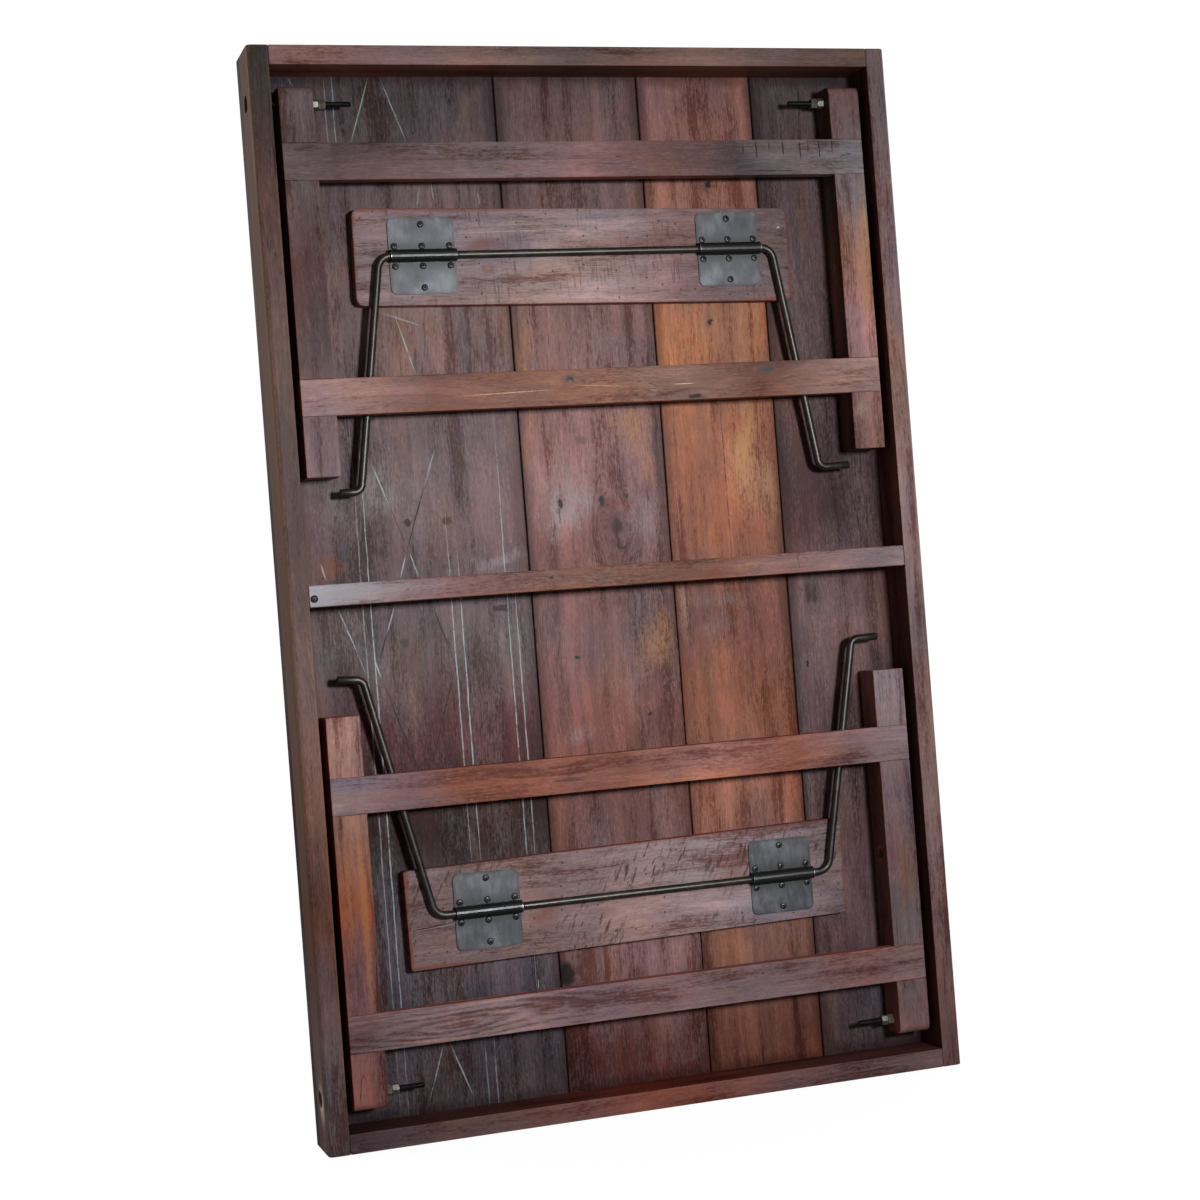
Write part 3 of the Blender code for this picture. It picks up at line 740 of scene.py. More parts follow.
plank(
    "plank_3",
    tones=(
        (0.065, (0.105, 0.04, 0.03)), (0.17, (0.12, 0.065, 0.06)), (0.335, (0.16, 0.07, 0.055)),
        (0.45, (0.12, 0.045, 0.028)), (0.54, (0.085, 0.034, 0.032)), (0.66, (0.13, 0.05, 0.032)),
        (0.75, (0.12, 0.05, 0.036)), (0.9, (0.2, 0.09, 0.055)), (1.16, (0.18, 0.095, 0.095)),
    ),
    seed=3,
    contrast=0.95,
    bloom=0.16,
    bloom_colour=(0.26, 0.155, 0.095),
    lines=(
        (0.1592, 0.8, 0.1592, 0.61, 0.0012, -0.75),
        (0.0989, 0.79, 0.0992, 0.735, 0.0012, -0.6),
        (0.095, 0.74, 0.097, 0.65, 0.0009, 0.45),
    ),
    line_colour=(0.26, 0.17, 0.13),
    marks=(
        (0.205, 0.69, 0.025, 0.045, 0.35, (0.27, 0.15, 0.09)),
        (0.0989, 0.799, 0.011, 0.01, 0.8, (0.05, 0.034, 0.03)),
        (0.1547, 0.9059, 0.003, 0.004, 1.2, INK),
        (0.165, 1.07, 0.0042, 0.005, 1.3, INK),
        (0.153, 0.91, 0.016, 0.014, 0.45, (0.13, 0.08, 0.075)),
        (0.19, 0.74, 0.026, 0.08, 0.7, (0.3, 0.16, 0.08)),
        (0.185, 0.83, 0.024, 0.04, 0.5, (0.24, 0.13, 0.095)),
        (0.115, 0.68, 0.018, 0.008, 0.6, (0.085, 0.036, 0.026)),
        (0.13, 0.472, 0.042, 0.009, 0.55, (0.085, 0.04, 0.032)),
        (0.145, 0.575, 0.055, 0.012, 0.45, (0.12, 0.085, 0.085)),
        (0.16, 0.63, 0.06, 0.016, 0.4, (0.14, 0.07, 0.05)),
        (0.125, 0.54, 0.03, 0.026, 0.45, (0.14, 0.09, 0.09)),
        (0.095, 0.56, 0.008, 0.05, 0.5, (0.24, 0.17, 0.14)),
    ),
)
plank(
    "plank_4",
    tones=(
        (0.065, (0.045, 0.032, 0.04)), (0.17, (0.085, 0.05, 0.06)), (0.335, (0.05, 0.028, 0.032)),
        (0.45, (0.045, 0.028, 0.036)), (0.54, (0.08, 0.05, 0.055)), (0.66, (0.032, 0.014, 0.016)),
        (0.75, (0.026, 0.014, 0.019)), (0.9, (0.05, 0.028, 0.032)), (1.16, (0.065, 0.05, 0.06)),
    ),
    seed=4,
    bloom=0.26,
    marks=(
        (0.2535, 0.576, 0.004, 0.015, 1.2, (0.04, 0.02, 0.018)),
        (0.2625, 0.573, 0.0034, 0.011, 1.2, (0.04, 0.02, 0.018)),
        (0.2454, 0.4907, 0.0022, 0.0045, 1.0, INK),
        (0.242, 0.525, 0.012, 0.036, 0.4, SLATE),
        (0.235, 0.4, 0.01, 0.15, 0.35, SHEEN_AND_BLOOM),
    ),
)
rim(
    "side_rail_left",
    tones=(
        (0.05, (0.12, 0.1, 0.12)), (0.25, (0.07, 0.024, 0.015)), (0.45, (0.11, 0.065, 0.06)),
        (0.65, (0.065, 0.04, 0.04)), (0.85, (0.085, 0.055, 0.05)), (1.05, (0.08, 0.042, 0.04)),
        (1.18, (0.042, 0.036, 0.034)),
    ),
    seed=5,
    bloom=0.16,
    spots=(
        ((-0.383, -0.01, 0.9), (0.004, ANY, 0.75), 0.75, (0.15, 0.078, 0.048)),
        ((-0.383, -0.02, 1.145), (0.006, 0.005, 0.05), 0.85, BARE),
        ((-0.383, 0.004, 1.12), (0.006, 0.004, 0.035), 0.6, BARE),
        ((-0.383, -0.013, 0.054), (0.006, 0.017, 0.03), 1.0, (0.95, 0.74, 0.49)),
        ((-0.383, -0.02, 0.072), (0.006, 0.004, 0.05), 0.85, BARE),
        ((-0.383, -0.02, 0.76), (0.006, 0.01, 0.12), 0.45, (0.19, 0.12, 0.08)),
        ((-0.383, -0.014, 0.4), (0.006, 0.01, 0.16), 0.4, (0.17, 0.1, 0.062)),
    ),
)
rim(
    "side_rail_right",
    tones=(
        (0.05, (0.15, 0.085, 0.085)), (0.25, (0.16, 0.11, 0.115)), (0.45, (0.12, 0.075, 0.075)),
        (0.65, (0.145, 0.105, 0.12)), (0.85, (0.14, 0.095, 0.095)), (1.05, (0.12, 0.095, 0.14)),
        (1.18, (0.12, 0.105, 0.14)),
    ),
    seed=6,
    bloom=0.2,
)
rim(
    "end_rail_top",
    tones=(
        (-0.33, (0.32, 0.18, 0.17)), (-0.16, (0.18, 0.12, 0.12)), (0.0, (0.07, 0.055, 0.06)),
        (0.16, (0.16, 0.1, 0.095)), (0.33, (0.1, 0.07, 0.075)),
    ),
    grain="X",
    seed=7,
    bloom=0.22,
)
rim(
    "end_rail_bottom",
    tones=(
        (-0.33, (0.065, 0.045, 0.06)), (-0.16, (0.105, 0.065, 0.075)), (0.0, (0.21, 0.065, 0.042)),
        (0.16, (0.115, 0.065, 0.07)), (0.33, (0.14, 0.09, 0.1)),
    ),
    grain="X",
    seed=8,
    bloom=0.14,
)
dress(
    "centre_batten",
    # The pale blue-grey left end, in the first tone and the first two marks, is painted sheen.
    tones=(
        (-0.34, (0.27, 0.26, 0.29)), (-0.25, (0.12, 0.075, 0.095)), (-0.13, (0.075, 0.036, 0.036)),
        (0.0, (0.09, 0.038, 0.022)), (0.13, (0.065, 0.024, 0.017)), (0.25, (0.14, 0.085, 0.085)),
        (0.34, (0.15, 0.105, 0.12)),
    ),
    grain="X",
    seed=9,
    bloom=0.24,
    marks=(
        (-0.32, 0.614, 0.05, 0.012, 0.9, (0.21, 0.195, 0.205)),
        (-0.25, 0.614, 0.06, 0.01, 0.5, (0.19, 0.165, 0.17)),
        (0.33, 0.612, 0.04, 0.012, 0.6, (0.11, 0.095, 0.1)),
        (-0.082, 0.615, 0.0022, 0.0018, 1.0, INK),
        (-0.079, 0.606, 0.0026, 0.0018, 1.0, (0.07, 0.03, 0.02)),
        (0.13, 0.613, 0.012, 0.006, 0.5, (0.1, 0.06, 0.05)),
    ),
    lines=((0.2205, 0.624, 0.2235, 0.606, 0.0008, -0.7),),
)
dress(
    "upper_leg_left",
    tones=(
        (0.76, (0.14, 0.09, 0.1)), (0.88, (0.07, 0.042, 0.042)), (0.96, (0.08, 0.032, 0.032)),
        (1.04, (0.12, 0.085, 0.08)), (1.16, (0.115, 0.09, 0.11)),
    ),
    seed=10,
    bloom=0.2,
)
dress(
    "upper_leg_right",
    tones=(
        (0.76, (0.13, 0.065, 0.055)), (0.88, (0.28, 0.15, 0.15)), (0.96, (0.26, 0.13, 0.09)),
        (1.04, (0.15, 0.13, 0.15)), (1.16, (0.16, 0.09, 0.095)),
    ),
    seed=11,
    bloom=0.22,
    # Painted shade on the leg's sides inside the well.
    sides=(0.5, 0.45, 0.4),
    marks=(
        (0.345, 1.01, 0.006, 0.07, 0.9, (0.34, 0.19, 0.1)),
        (0.34, 0.96, 0.004, 0.08, 0.6, (0.3, 0.16, 0.085)),
        (0.322, 0.79, 0.012, 0.014, 0.5, (0.22, 0.16, 0.14)),
    ),
    spots=(
        ((0.311, -0.007, 0.9625), (0.003, 0.007, 0.01), 0.95, (0.34, 0.19, 0.1)),
    ),
)
dress(
    "lower_leg_left",
    tones=(
        (0.06, (0.14, 0.065, 0.065)), (0.18, (0.105, 0.05, 0.055)), (0.26, (0.12, 0.036, 0.016)),
        (0.34, (0.115, 0.06, 0.05)), (0.46, (0.22, 0.12, 0.11)),
    ),
    seed=12,
    contrast=1.35,
    bloom=0.16,
    marks=(
        (-0.322, 0.25, 0.004, 0.12, 0.55, (0.27, 0.115, 0.042)),
        (-0.338, 0.3, 0.003, 0.09, 0.45, (0.25, 0.105, 0.04)),
        (-0.33, 0.45, 0.016, 0.03, 0.4, (0.2, 0.13, 0.11)),
    ),
)
dress(
    "lower_leg_right",
    tones=(
        (0.06, (0.17, 0.1, 0.105)), (0.18, (0.09, 0.08, 0.1)), (0.26, (0.085, 0.05, 0.055)),
        (0.34, (0.07, 0.05, 0.07)), (0.46, (0.15, 0.12, 0.14)),
    ),
    seed=13,
    bloom=0.3,
    spots=(((0.311, -0.007, 0.2575), (0.003, 0.007, 0.01), 0.95, (0.34, 0.19, 0.1)),),
)
dress(
    "upper_stretcher_pivot",
    tones=(
        (-0.328, (0.095, 0.07, 0.08)), (-0.295, (0.06, 0.042, 0.05)), (-0.2, (0.11, 0.07, 0.075)),
        (-0.1, (0.13, 0.095, 0.11)), (0.0, (0.14, 0.075, 0.08)), (0.1, (0.095, 0.055, 0.06)),
        (0.2, (0.032, 0.026, 0.036)), (0.295, (0.11, 0.105, 0.14)), (0.328, (0.15, 0.14, 0.16)),
    ),
    grain="X",
    seed=14,
    bloom=0.26,
    marks=((-0.18, 1.105, 0.014, 0.008, 0.5, (0.19, 0.2, 0.23)),),
    lines=(
        (-0.235, 1.0935, 0.06, 1.0925, 0.0006, -0.45),
        (0.196, 1.112, 0.196, 1.096, 0.0013, -0.85),
        (0.212, 1.112, 0.213, 1.09, 0.0015, -0.95),
        (0.229, 1.112, 0.229, 1.099, 0.0012, -0.8),
        (0.246, 1.112, 0.247, 1.093, 0.0014, -0.9),
        (0.268, 1.112, 0.269, 1.088, 0.0015, -0.95),
        (0.279, 1.112, 0.279, 1.097, 0.0012, -0.8),
        (0.293, 1.1125, 0.294, 1.09, 0.0015, -0.95),
        (0.31, 1.112, 0.31, 1.096, 0.0012, -0.8),
        (0.205, 1.077, 0.262, 1.076, 0.0016, -0.8),
    ),
)
dress(
    "upper_stretcher_foot",
    tones=(
        (-0.328, (0.22, 0.14, 0.14)), (-0.2, (0.085, 0.038, 0.032)), (-0.1, (0.09, 0.04, 0.03)),
        (0.0, (0.13, 0.06, 0.042)), (0.1, (0.13, 0.07, 0.055)), (0.2, (0.075, 0.03, 0.022)),
        (0.328, (0.19, 0.125, 0.12)),
    ),
    grain="X",
    seed=15,
    bloom=0.2,
    marks=(
        (-0.0385, 0.8399, 0.0058, 0.0032, 1.6, (0.03, 0.026, 0.03)),
        (0.2049, 0.8421, 0.0085, 0.003, 1.6, (0.034, 0.038, 0.044)),
        (0.112, 0.8135, 0.009, 0.0032, 1.5, INK),
        (0.125, 0.83, 0.025, 0.012, 0.6, (0.095, 0.055, 0.044)),
        (0.06, 0.824, 0.018, 0.008, 0.5, (0.26, 0.175, 0.135)),
    ),
    lines=(
        (-0.17, 0.8255, -0.06, 0.8285, 0.0008, 0.8),
        (-0.04, 0.833, 0.03, 0.829, 0.0007, 0.5),
        (0.085, 0.829, 0.112, 0.829, 0.0009, 0.9),
    ),
    line_colour=(0.4, 0.26, 0.17),
)
dress(
    "lower_stretcher_foot",
    tones=(
        (-0.328, (0.105, 0.095, 0.14)), (-0.2, (0.14, 0.05, 0.03)), (-0.1, (0.14, 0.05, 0.036)),
        (0.0, (0.1, 0.04, 0.03)), (0.1, (0.2, 0.095, 0.085)), (0.2, (0.115, 0.045, 0.034)),
        (0.328, (0.11, 0.085, 0.105)),
    ),
    grain="X",
    seed=16,
    bloom=0.14,
    marks=((0.23, 0.383, 0.05, 0.008, 0.35, (0.3, 0.14, 0.07)),),
)
dress(
    "lower_stretcher_pivot",
    tones=(
        (-0.328, (0.11, 0.065, 0.075)), (-0.295, (0.14, 0.1, 0.12)), (-0.2, (0.25, 0.17, 0.17)),
        (-0.1, (0.16, 0.105, 0.13)), (0.0, (0.15, 0.095, 0.11)), (0.1, (0.115, 0.085, 0.11)),
        (0.2, (0.12, 0.085, 0.105)), (0.295, (0.14, 0.085, 0.1)), (0.328, (0.16, 0.105, 0.115)),
    ),
    grain="X",
    seed=17,
    bloom=0.24,
    rings=(0.126, -0.23, 0.11, 1150.0, 0.15),
)
board(
    "upper_brace_board",
    tones=(
        (-0.25, (0.16, 0.12, 0.14)), (-0.12, (0.115, 0.095, 0.12)), (-0.04, (0.18, 0.14, 0.15)),
        (0.04, (0.19, 0.14, 0.15)), (0.12, (0.105, 0.07, 0.08)), (0.24, (0.085, 0.065, 0.075)),
    ),
    seed=18,
    bloom=0.15,
    saw=(0.05, 0.0022, 0.03, 0.6, (0.06, 0.026, 0.022)),
    dots=0.45,
    lines=(
        (-0.148, 1.015, -0.02, 1.0175, 0.0007, 0.8),
        (0.225, 0.99, 0.252, 0.9885, 0.0008, -0.6),
    ),
    line_colour=(0.3, 0.26, 0.24),
    marks=(
        (-0.118, 0.9745, 0.0042, 0.0035, 1.2, (0.21, 0.095, 0.05)),
        (-0.248, 0.992, 0.01, 0.006, 0.7, (0.045, 0.038, 0.042)),
        (-0.12, 0.997, 0.03, 0.013, 0.7, (0.13, 0.045, 0.03)),
        (0.06, 0.998, 0.06, 0.013, 0.6, (0.13, 0.045, 0.03)),
        (0.245, 1.015, 0.0013, 0.0013, 0.9, (0.34, 0.33, 0.32)),
        (0.238, 0.97, 0.0036, 0.003, 1.0, (0.23, 0.1, 0.045)),
    ),
)
board(
    "lower_brace_board",
    tones=(
        (-0.25, (0.105, 0.075, 0.085)), (-0.12, (0.15, 0.1, 0.1)), (-0.04, (0.14, 0.1, 0.11)),
        (0.04, (0.18, 0.135, 0.15)), (0.12, (0.17, 0.14, 0.17)), (0.24, (0.105, 0.085, 0.105)),
    ),
    seed=19,
    bloom=0.17,
    saw=(-0.4, 0.0042, 0.018, 0.85, (0.045, 0.017, 0.014)),
    dots=0.4,
    lines=(
        (-0.268, 0.23, -0.212, 0.2345, 0.0009, -0.75),
        (-0.268, 0.2285, -0.212, 0.233, 0.0006, 0.6),
    ),
    line_colour=(0.28, 0.22, 0.19),
    marks=(
        (-0.1, 0.233, 0.04, 0.015, 0.8, (0.12, 0.038, 0.027)),
        (0.13, 0.256, 0.05, 0.016, 0.6, (0.135, 0.048, 0.036)),
        (-0.11, 0.254, 0.03, 0.008, 0.45, (0.15, 0.06, 0.045)),
        (0.075, 0.258, 0.05, 0.012, 0.45, (0.22, 0.19, 0.19)),
    ),
)


# Metal


def metal(name, tones, roughness, rust=0.0, scale=60.0, wear=0.0, bright=(0.5, 0.5, 0.5), metallic=1.0):
    """Bare or blackened metal: cloudy tone, fine scuffs and, where a mesh carries them, wear and painted
    shade in recesses.
    """
    s = Shader(name)
    clouds = s.noise(s.point, scale, 4.0, 0.6)
    fine = s.noise(s.vector("MULTIPLY", s.point, (1.0, 1.0, 3.0)), scale * 14, 3.0, 0.7)
    level = s.plus(s.times(clouds, 0.75), s.times(fine, 0.25))
    colour = s.ramp(level, ((0.3, tones[0]), (0.52, tones[1]), (0.72, tones[2])))
    if rust:
        bloom = s.smooth(s.noise(s.point, scale * 1.7, 5.0, 0.7), 0.52, 0.7)
        colour = s.mix(s.times(bloom, rust), colour, (0.11, 0.05, 0.026))
    if wear:
        rubbed = s.times(s.carried("wear"), s.smooth(fine, 0.3, 0.6, 0.35, 1.0))
        colour = s.mix(s.times(rubbed, wear), colour, bright)
        # Painted shade in the screws' cross recesses.
        colour = s.mix(s.carried("recess_shade"), colour, (0.004, 0.004, 0.004))
    s.feed(s.surface.inputs["Base Color"], colour)
    s.surface.inputs["Metallic"].default_value = metallic
    rough = s.affine(s.minus(clouds, 0.5), 0.3, roughness)
    s.feed(s.surface.inputs["Roughness"], rough)
    s.bump(fine, 0.2, 0.00012)
    return s.material


ARM_STEEL = metal(
    "arm_steel_black",
    ((0.012, 0.011, 0.01), (0.022, 0.02, 0.019), (0.048, 0.042, 0.038)),
    0.38,
    rust=0.12,
    metallic=0.6,
)
BOLT_STEEL = metal(
    "bolt_steel_black",
    ((0.02, 0.02, 0.02), (0.04, 0.038, 0.037), (0.075, 0.072, 0.07)),
    0.42,
    wear=0.3,
    bright=(0.2, 0.2, 0.2),
)
SCREW_STEEL = metal(
    "screw_steel_worn",
    ((0.018, 0.018, 0.02), (0.034, 0.035, 0.038), (0.07, 0.071, 0.076)),
    0.46,
    scale=260.0,
    wear=0.5,
    bright=(0.13, 0.135, 0.14),
)
ZINC = metal(
    "zinc_bright",
    ((0.1, 0.095, 0.086), (0.165, 0.156, 0.143), (0.27, 0.256, 0.236)),
    0.5,
    metallic=0.8,
    scale=180.0,
    wear=0.35,
    bright=(0.55, 0.53, 0.5),
)


def plate_metal(name, low, high, axis_z):
    """Gunmetal sheet, sooty and with painted shade next to its barrel, the barrel itself painted nearly black
    as shade, blue-grey and streaky elsewhere.
    """
    s = Shader(name)
    off_axis = s.math("ABSOLUTE", s.minus(s.split(s.point)[2], axis_z))
    streaks = s.noise(s.vector("MULTIPLY", s.point, (150.0, 40.0, 45.0)), 1.0, 4.0, 0.6)
    clouds = s.noise(s.point, 38.0, 4.0, 0.55)
    specks = s.noise(s.point, 520.0, 3.0, 0.7)
    level = s.plus(s.times(streaks, 0.45), s.times(clouds, 0.55))
    colour = s.ramp(
        level,
        ((0.34, (0.017, 0.02, 0.024)), (0.49, (0.04, 0.044, 0.052)), (0.64, (0.082, 0.091, 0.105))),
    )
    gap = s.affine(s.minus(clouds, 0.5), -0.016, off_axis)
    gap = s.affine(s.minus(specks, 0.5), 0.006, gap)
    # Soot and painted shade along the barrel.
    soot_and_shade = s.smooth(gap, 0.0065, 0.023, 1.0, 0.0)
    colour = s.mix(s.times(soot_and_shade, 0.85), colour, (0.018, 0.019, 0.021))
    # Painted shade: the barrel nearly black.
    barrel = s.smooth(off_axis, BARREL_R, BARREL_R + 0.0008, 1.0, 0.0)
    colour = s.mix(s.times(barrel, 0.9), colour, (0.011, 0.011, 0.012))
    blots = s.smooth(s.noise(s.vector("ADD", s.point, (2.0, 0.0, 1.0)), 95.0, 4.0, 0.7), 0.6, 0.72)
    colour = s.mix(s.times(blots, 0.55), colour, (0.026, 0.028, 0.031))
    from_edge = s.edge_distance(low, high)
    outline = s.affine(s.minus(clouds, 0.5), 0.01, from_edge)
    colour = s.mix(s.smooth(outline, 0.0008, 0.004, 0.65, 0.0), colour, (0.024, 0.025, 0.028))
    rim = s.times(s.smooth(from_edge, 0.0003, 0.001, 1.0, 0.0), s.smooth(clouds, 0.42, 0.58))
    colour = s.mix(s.times(rim, 0.8), colour, (0.3, 0.31, 0.32))
    s.feed(s.surface.inputs["Base Color"], colour)
    s.surface.inputs["Metallic"].default_value = 0.55
    rough = s.affine(barrel, -0.14, s.affine(streaks, 0.22, 0.4))
    s.feed(s.surface.inputs["Roughness"], rough)
    s.bump(s.plus(specks, s.times(streaks, 1.5)), 0.25, 0.00012)
    return s.material


# Finer hardware


def place(name, data):
    """Put a mesh, a lamp or a camera in the scene."""
    made = bpy.data.objects.new(name, data)
    bpy.context.scene.collection.objects.link(made)
    return made


def link(name, mesh, material, slot, body, *nodes):
    """Put a mesh in the scene as a piece that stands for its CAD nodes."""
    mesh.materials.append(material)
    piece = place(name, mesh)
    if nodes:
        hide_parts(*nodes)
    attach(piece, body)
    return piece


def bridge(bm, first, second):
    """Faces between two rows of the same length that each close on themselves."""
    for k in range(len(first)):
        n = (k + 1) % len(first)
        bm.faces.new((first[k], first[n], second[n], second[k]))


def bake(bm, name, sharp=None):
    """Turn a bmesh into a mesh. Given an angle, it is smooth but for edges sharper than that."""
    mesh = bpy.data.meshes.new(name)
    bm.to_mesh(mesh)
    bm.free()
    if sharp is not None:
        mesh.shade_smooth()
        mesh.set_sharp_from_angle(angle=math.radians(sharp))
    return mesh


def circle(count, radius, turn=0.0):
    """Points round a circle, as pairs. The radius is a number or a function of the angle."""
    points = []
    for k in range(count):
        angle = 2 * math.pi * k / count
        r = radius(angle) if callable(radius) else radius
        points.append((r * math.cos(angle + turn), r * math.sin(angle + turn)))
    return points


def rings_mesh(name, rings, closed_loop=False, sharp=40):
    """A skin over rings of points, each ring with its wear. Open ends are capped."""
    bm = bmesh.new()
    wear = bm.verts.layers.float.new("wear")
    rows = []
    for points, worn in rings:
        row = [bm.verts.new(p) for p in points]
        for vert in row:
            vert[wear] = worn
        rows.append(row)
    for first, second in zip(rows, rows[1:]):
        bridge(bm, first, second)
    if closed_loop:
        bridge(bm, rows[-1], rows[0])
    else:
        bm.faces.new(reversed(rows[0]))
        bm.faces.new(rows[-1])
    bmesh.ops.recalc_face_normals(bm, faces=bm.faces)
    return bake(bm, name, sharp)


def ring_x(x, radius, centre, sides, turn=0.0):
    """Points round an axis along X."""
    return [(x, centre.y + across, centre.z + up) for across, up in circle(sides, radius, turn)]


def hex_radius(across_flats, limit):
    """Radius of a hexagon at an angle, cut back to a circle of the given radius."""

    def radius(angle):
        part = (angle + math.pi / 6) % (math.pi / 3) - math.pi / 6
        return min(across_flats / 2 / math.cos(part), limit)

    return radius


def nut(node, turn_degrees):
    """A chamfered hexagon nut with a plain round bore, chamfered at both ends."""
    low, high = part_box(node)
    centre = (low + high) / 2
    corner = NUT_FLATS / math.sqrt(3)
    chamfer = ((0.0, NUT_FLATS * 0.485, 0.2), (0.0004, NUT_FLATS * 0.53, 1.0), (0.0009, corner, 0.4))
    rings = [(low.x + depth, limit, worn) for depth, limit, worn in chamfer]
    rings.append((low.x + 0.003, corner, 0.0))
    rings += [(high.x - depth, limit, worn) for depth, limit, worn in reversed(chamfer)]
    turn = math.radians(turn_degrees)
    skin = []
    for x, limit, worn in rings:
        skin.append((ring_x(x, hex_radius(NUT_FLATS, limit), centre, NUT_SIDES, turn), worn))
    for x, radius, worn in (
        (high.x, NUT_BORE_R + 0.0006, 0.3),
        (high.x - 0.0007, NUT_BORE_R, 0.0),
        (low.x + 0.0007, NUT_BORE_R, 0.0),
        (low.x, NUT_BORE_R + 0.0006, 0.3),
    ):
        skin.append((ring_x(x, radius, centre, NUT_SIDES, turn), worn))
    return rings_mesh(f"{node}_fine", skin, closed_loop=True, sharp=25)


def bolt(node, side):
    """A hexagon-headed bolt whose inner end is threaded."""
    low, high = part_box(node)
    centre = (low + high) / 2
    outer, tip = (low.x, high.x) if side < 0 else (high.x, low.x)
    inward = -side
    skin = []
    for depth, limit, worn in (
        (0.0, BOLT_FLATS * 0.46, 0.3),
        (0.0005, BOLT_FLATS * 0.52, 1.0),
        (0.001, BOLT_FLATS / math.sqrt(3), 0.3),
        (BOLT_HEAD_T, BOLT_FLATS / math.sqrt(3), 0.0),
    ):
        skin.append((ring_x(outer + inward * depth, hex_radius(BOLT_FLATS, limit), centre, BOLT_SIDES), worn))
    skin.append((ring_x(outer + inward * BOLT_HEAD_T, BOLT_R * 0.96, centre, BOLT_SIDES), 0.0))
    thread_from = outer + inward * BOLT_SHANK
    skin.append((ring_x(thread_from, BOLT_R * 0.96, centre, BOLT_SIDES), 0.0))
    steps = 5
    total = abs(tip - thread_from) - 0.0008
    count = int(total / THREAD_PITCH * steps)
    for k in range(1, count):
        travel = k * total / count
        x = thread_from + inward * travel
        points = []
        for j in range(BOLT_SIDES):
            angle = 2 * math.pi * j / BOLT_SIDES
            phase = (travel / THREAD_PITCH + j / BOLT_SIDES) % 1.0
            r = BOLT_R - THREAD_DEPTH * abs(2 * phase - 1) * min(1.0, travel / 0.002)
            points.append((x, centre.y + r * math.cos(angle), centre.z + r * math.sin(angle)))
        skin.append((points, 0.5))
    skin.append((ring_x(tip - inward * 0.0006, BOLT_R - THREAD_DEPTH, centre, BOLT_SIDES), 0.3))
    skin.append((ring_x(tip, BOLT_R - 1.8 * THREAD_DEPTH, centre, BOLT_SIDES), 0.6))
    return rings_mesh(f"{node}_fine", skin, sharp=50)


def bent_path(corners, radii, steps=12):
    """Points along straight runs with an arc of the given radius at each inner corner."""
    points = [Vector(corners[0])]
    for here, before, after, radius in zip(corners[1:], corners, corners[2:], radii):
        here = Vector(here)
        back = (Vector(before) - here).normalized()
        ahead = (Vector(after) - here).normalized()
        half = back.angle(ahead) / 2
        middle = here + (back + ahead).normalized() * radius / math.sin(half)
        first = here + back * radius / math.tan(half) - middle
        last = here + ahead * radius / math.tan(half) - middle
        sweep = first.angle(last)
        for k in range(steps + 1):
            t = k / steps
            weight = math.sin((1 - t) * sweep) / math.sin(sweep), math.sin(t * sweep) / math.sin(sweep)
            points.append(middle + first * weight[0] + last * weight[1])
    points.append(Vector(corners[-1]))
    return points


def arm(node, end, side):
    """One arm of a wire brace with the bends and hook of its CAD node, round and with a chamfered tip."""
    low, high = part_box(node)
    radius = (high.y - low.y) / 2
    y = (low.y + high.y) / 2
    up = 1 if end == "upper" else -1
    axis_z = high.z - radius if up > 0 else low.z + radius
    hook_z = low.z + radius if up > 0 else high.z - radius
    inner, tip = (high.x, low.x) if side < 0 else (low.x, high.x)
    if end == "lower":
        tip += side * TIP_LONGER
    bend_x, hook_x, rise = BENDS[node]
    corners = (
        (inner, y, axis_z),
        (bend_x, y, axis_z),
        (hook_x, y, hook_z + up * rise),
        (tip, y, hook_z),
    )
    path = bent_path(corners, (ARM_BEND_R, HOOK_BEND_R))
    skin = []
    across = Vector((0, 1, 0))
    for i, point in enumerate(path):
        before = path[max(i - 1, 0)]
        after = path[min(i + 1, len(path) - 1)]
        along = (after - before).normalized()
        out = along.cross(across)
        parts = ((0.0, radius, 0.0),)
        if i == 0:
            parts = ((0.0, radius * 0.66, 0.0), (0.0, radius * 0.9, 0.6), (0.0005, radius, 0.2))
        elif i == len(path) - 1:
            parts = ((-0.0012, radius, 0.2), (-0.0003, radius * 0.88, 0.9), (0.0, radius * 0.7, 0.6))
        for shift, r, worn in parts:
            middle = point + along * shift
            skin.append(([middle + across * a + out * b for a, b in circle(ARM_SIDES, r)], worn))
    return rings_mesh(f"{node}_fine", skin, sharp=50)


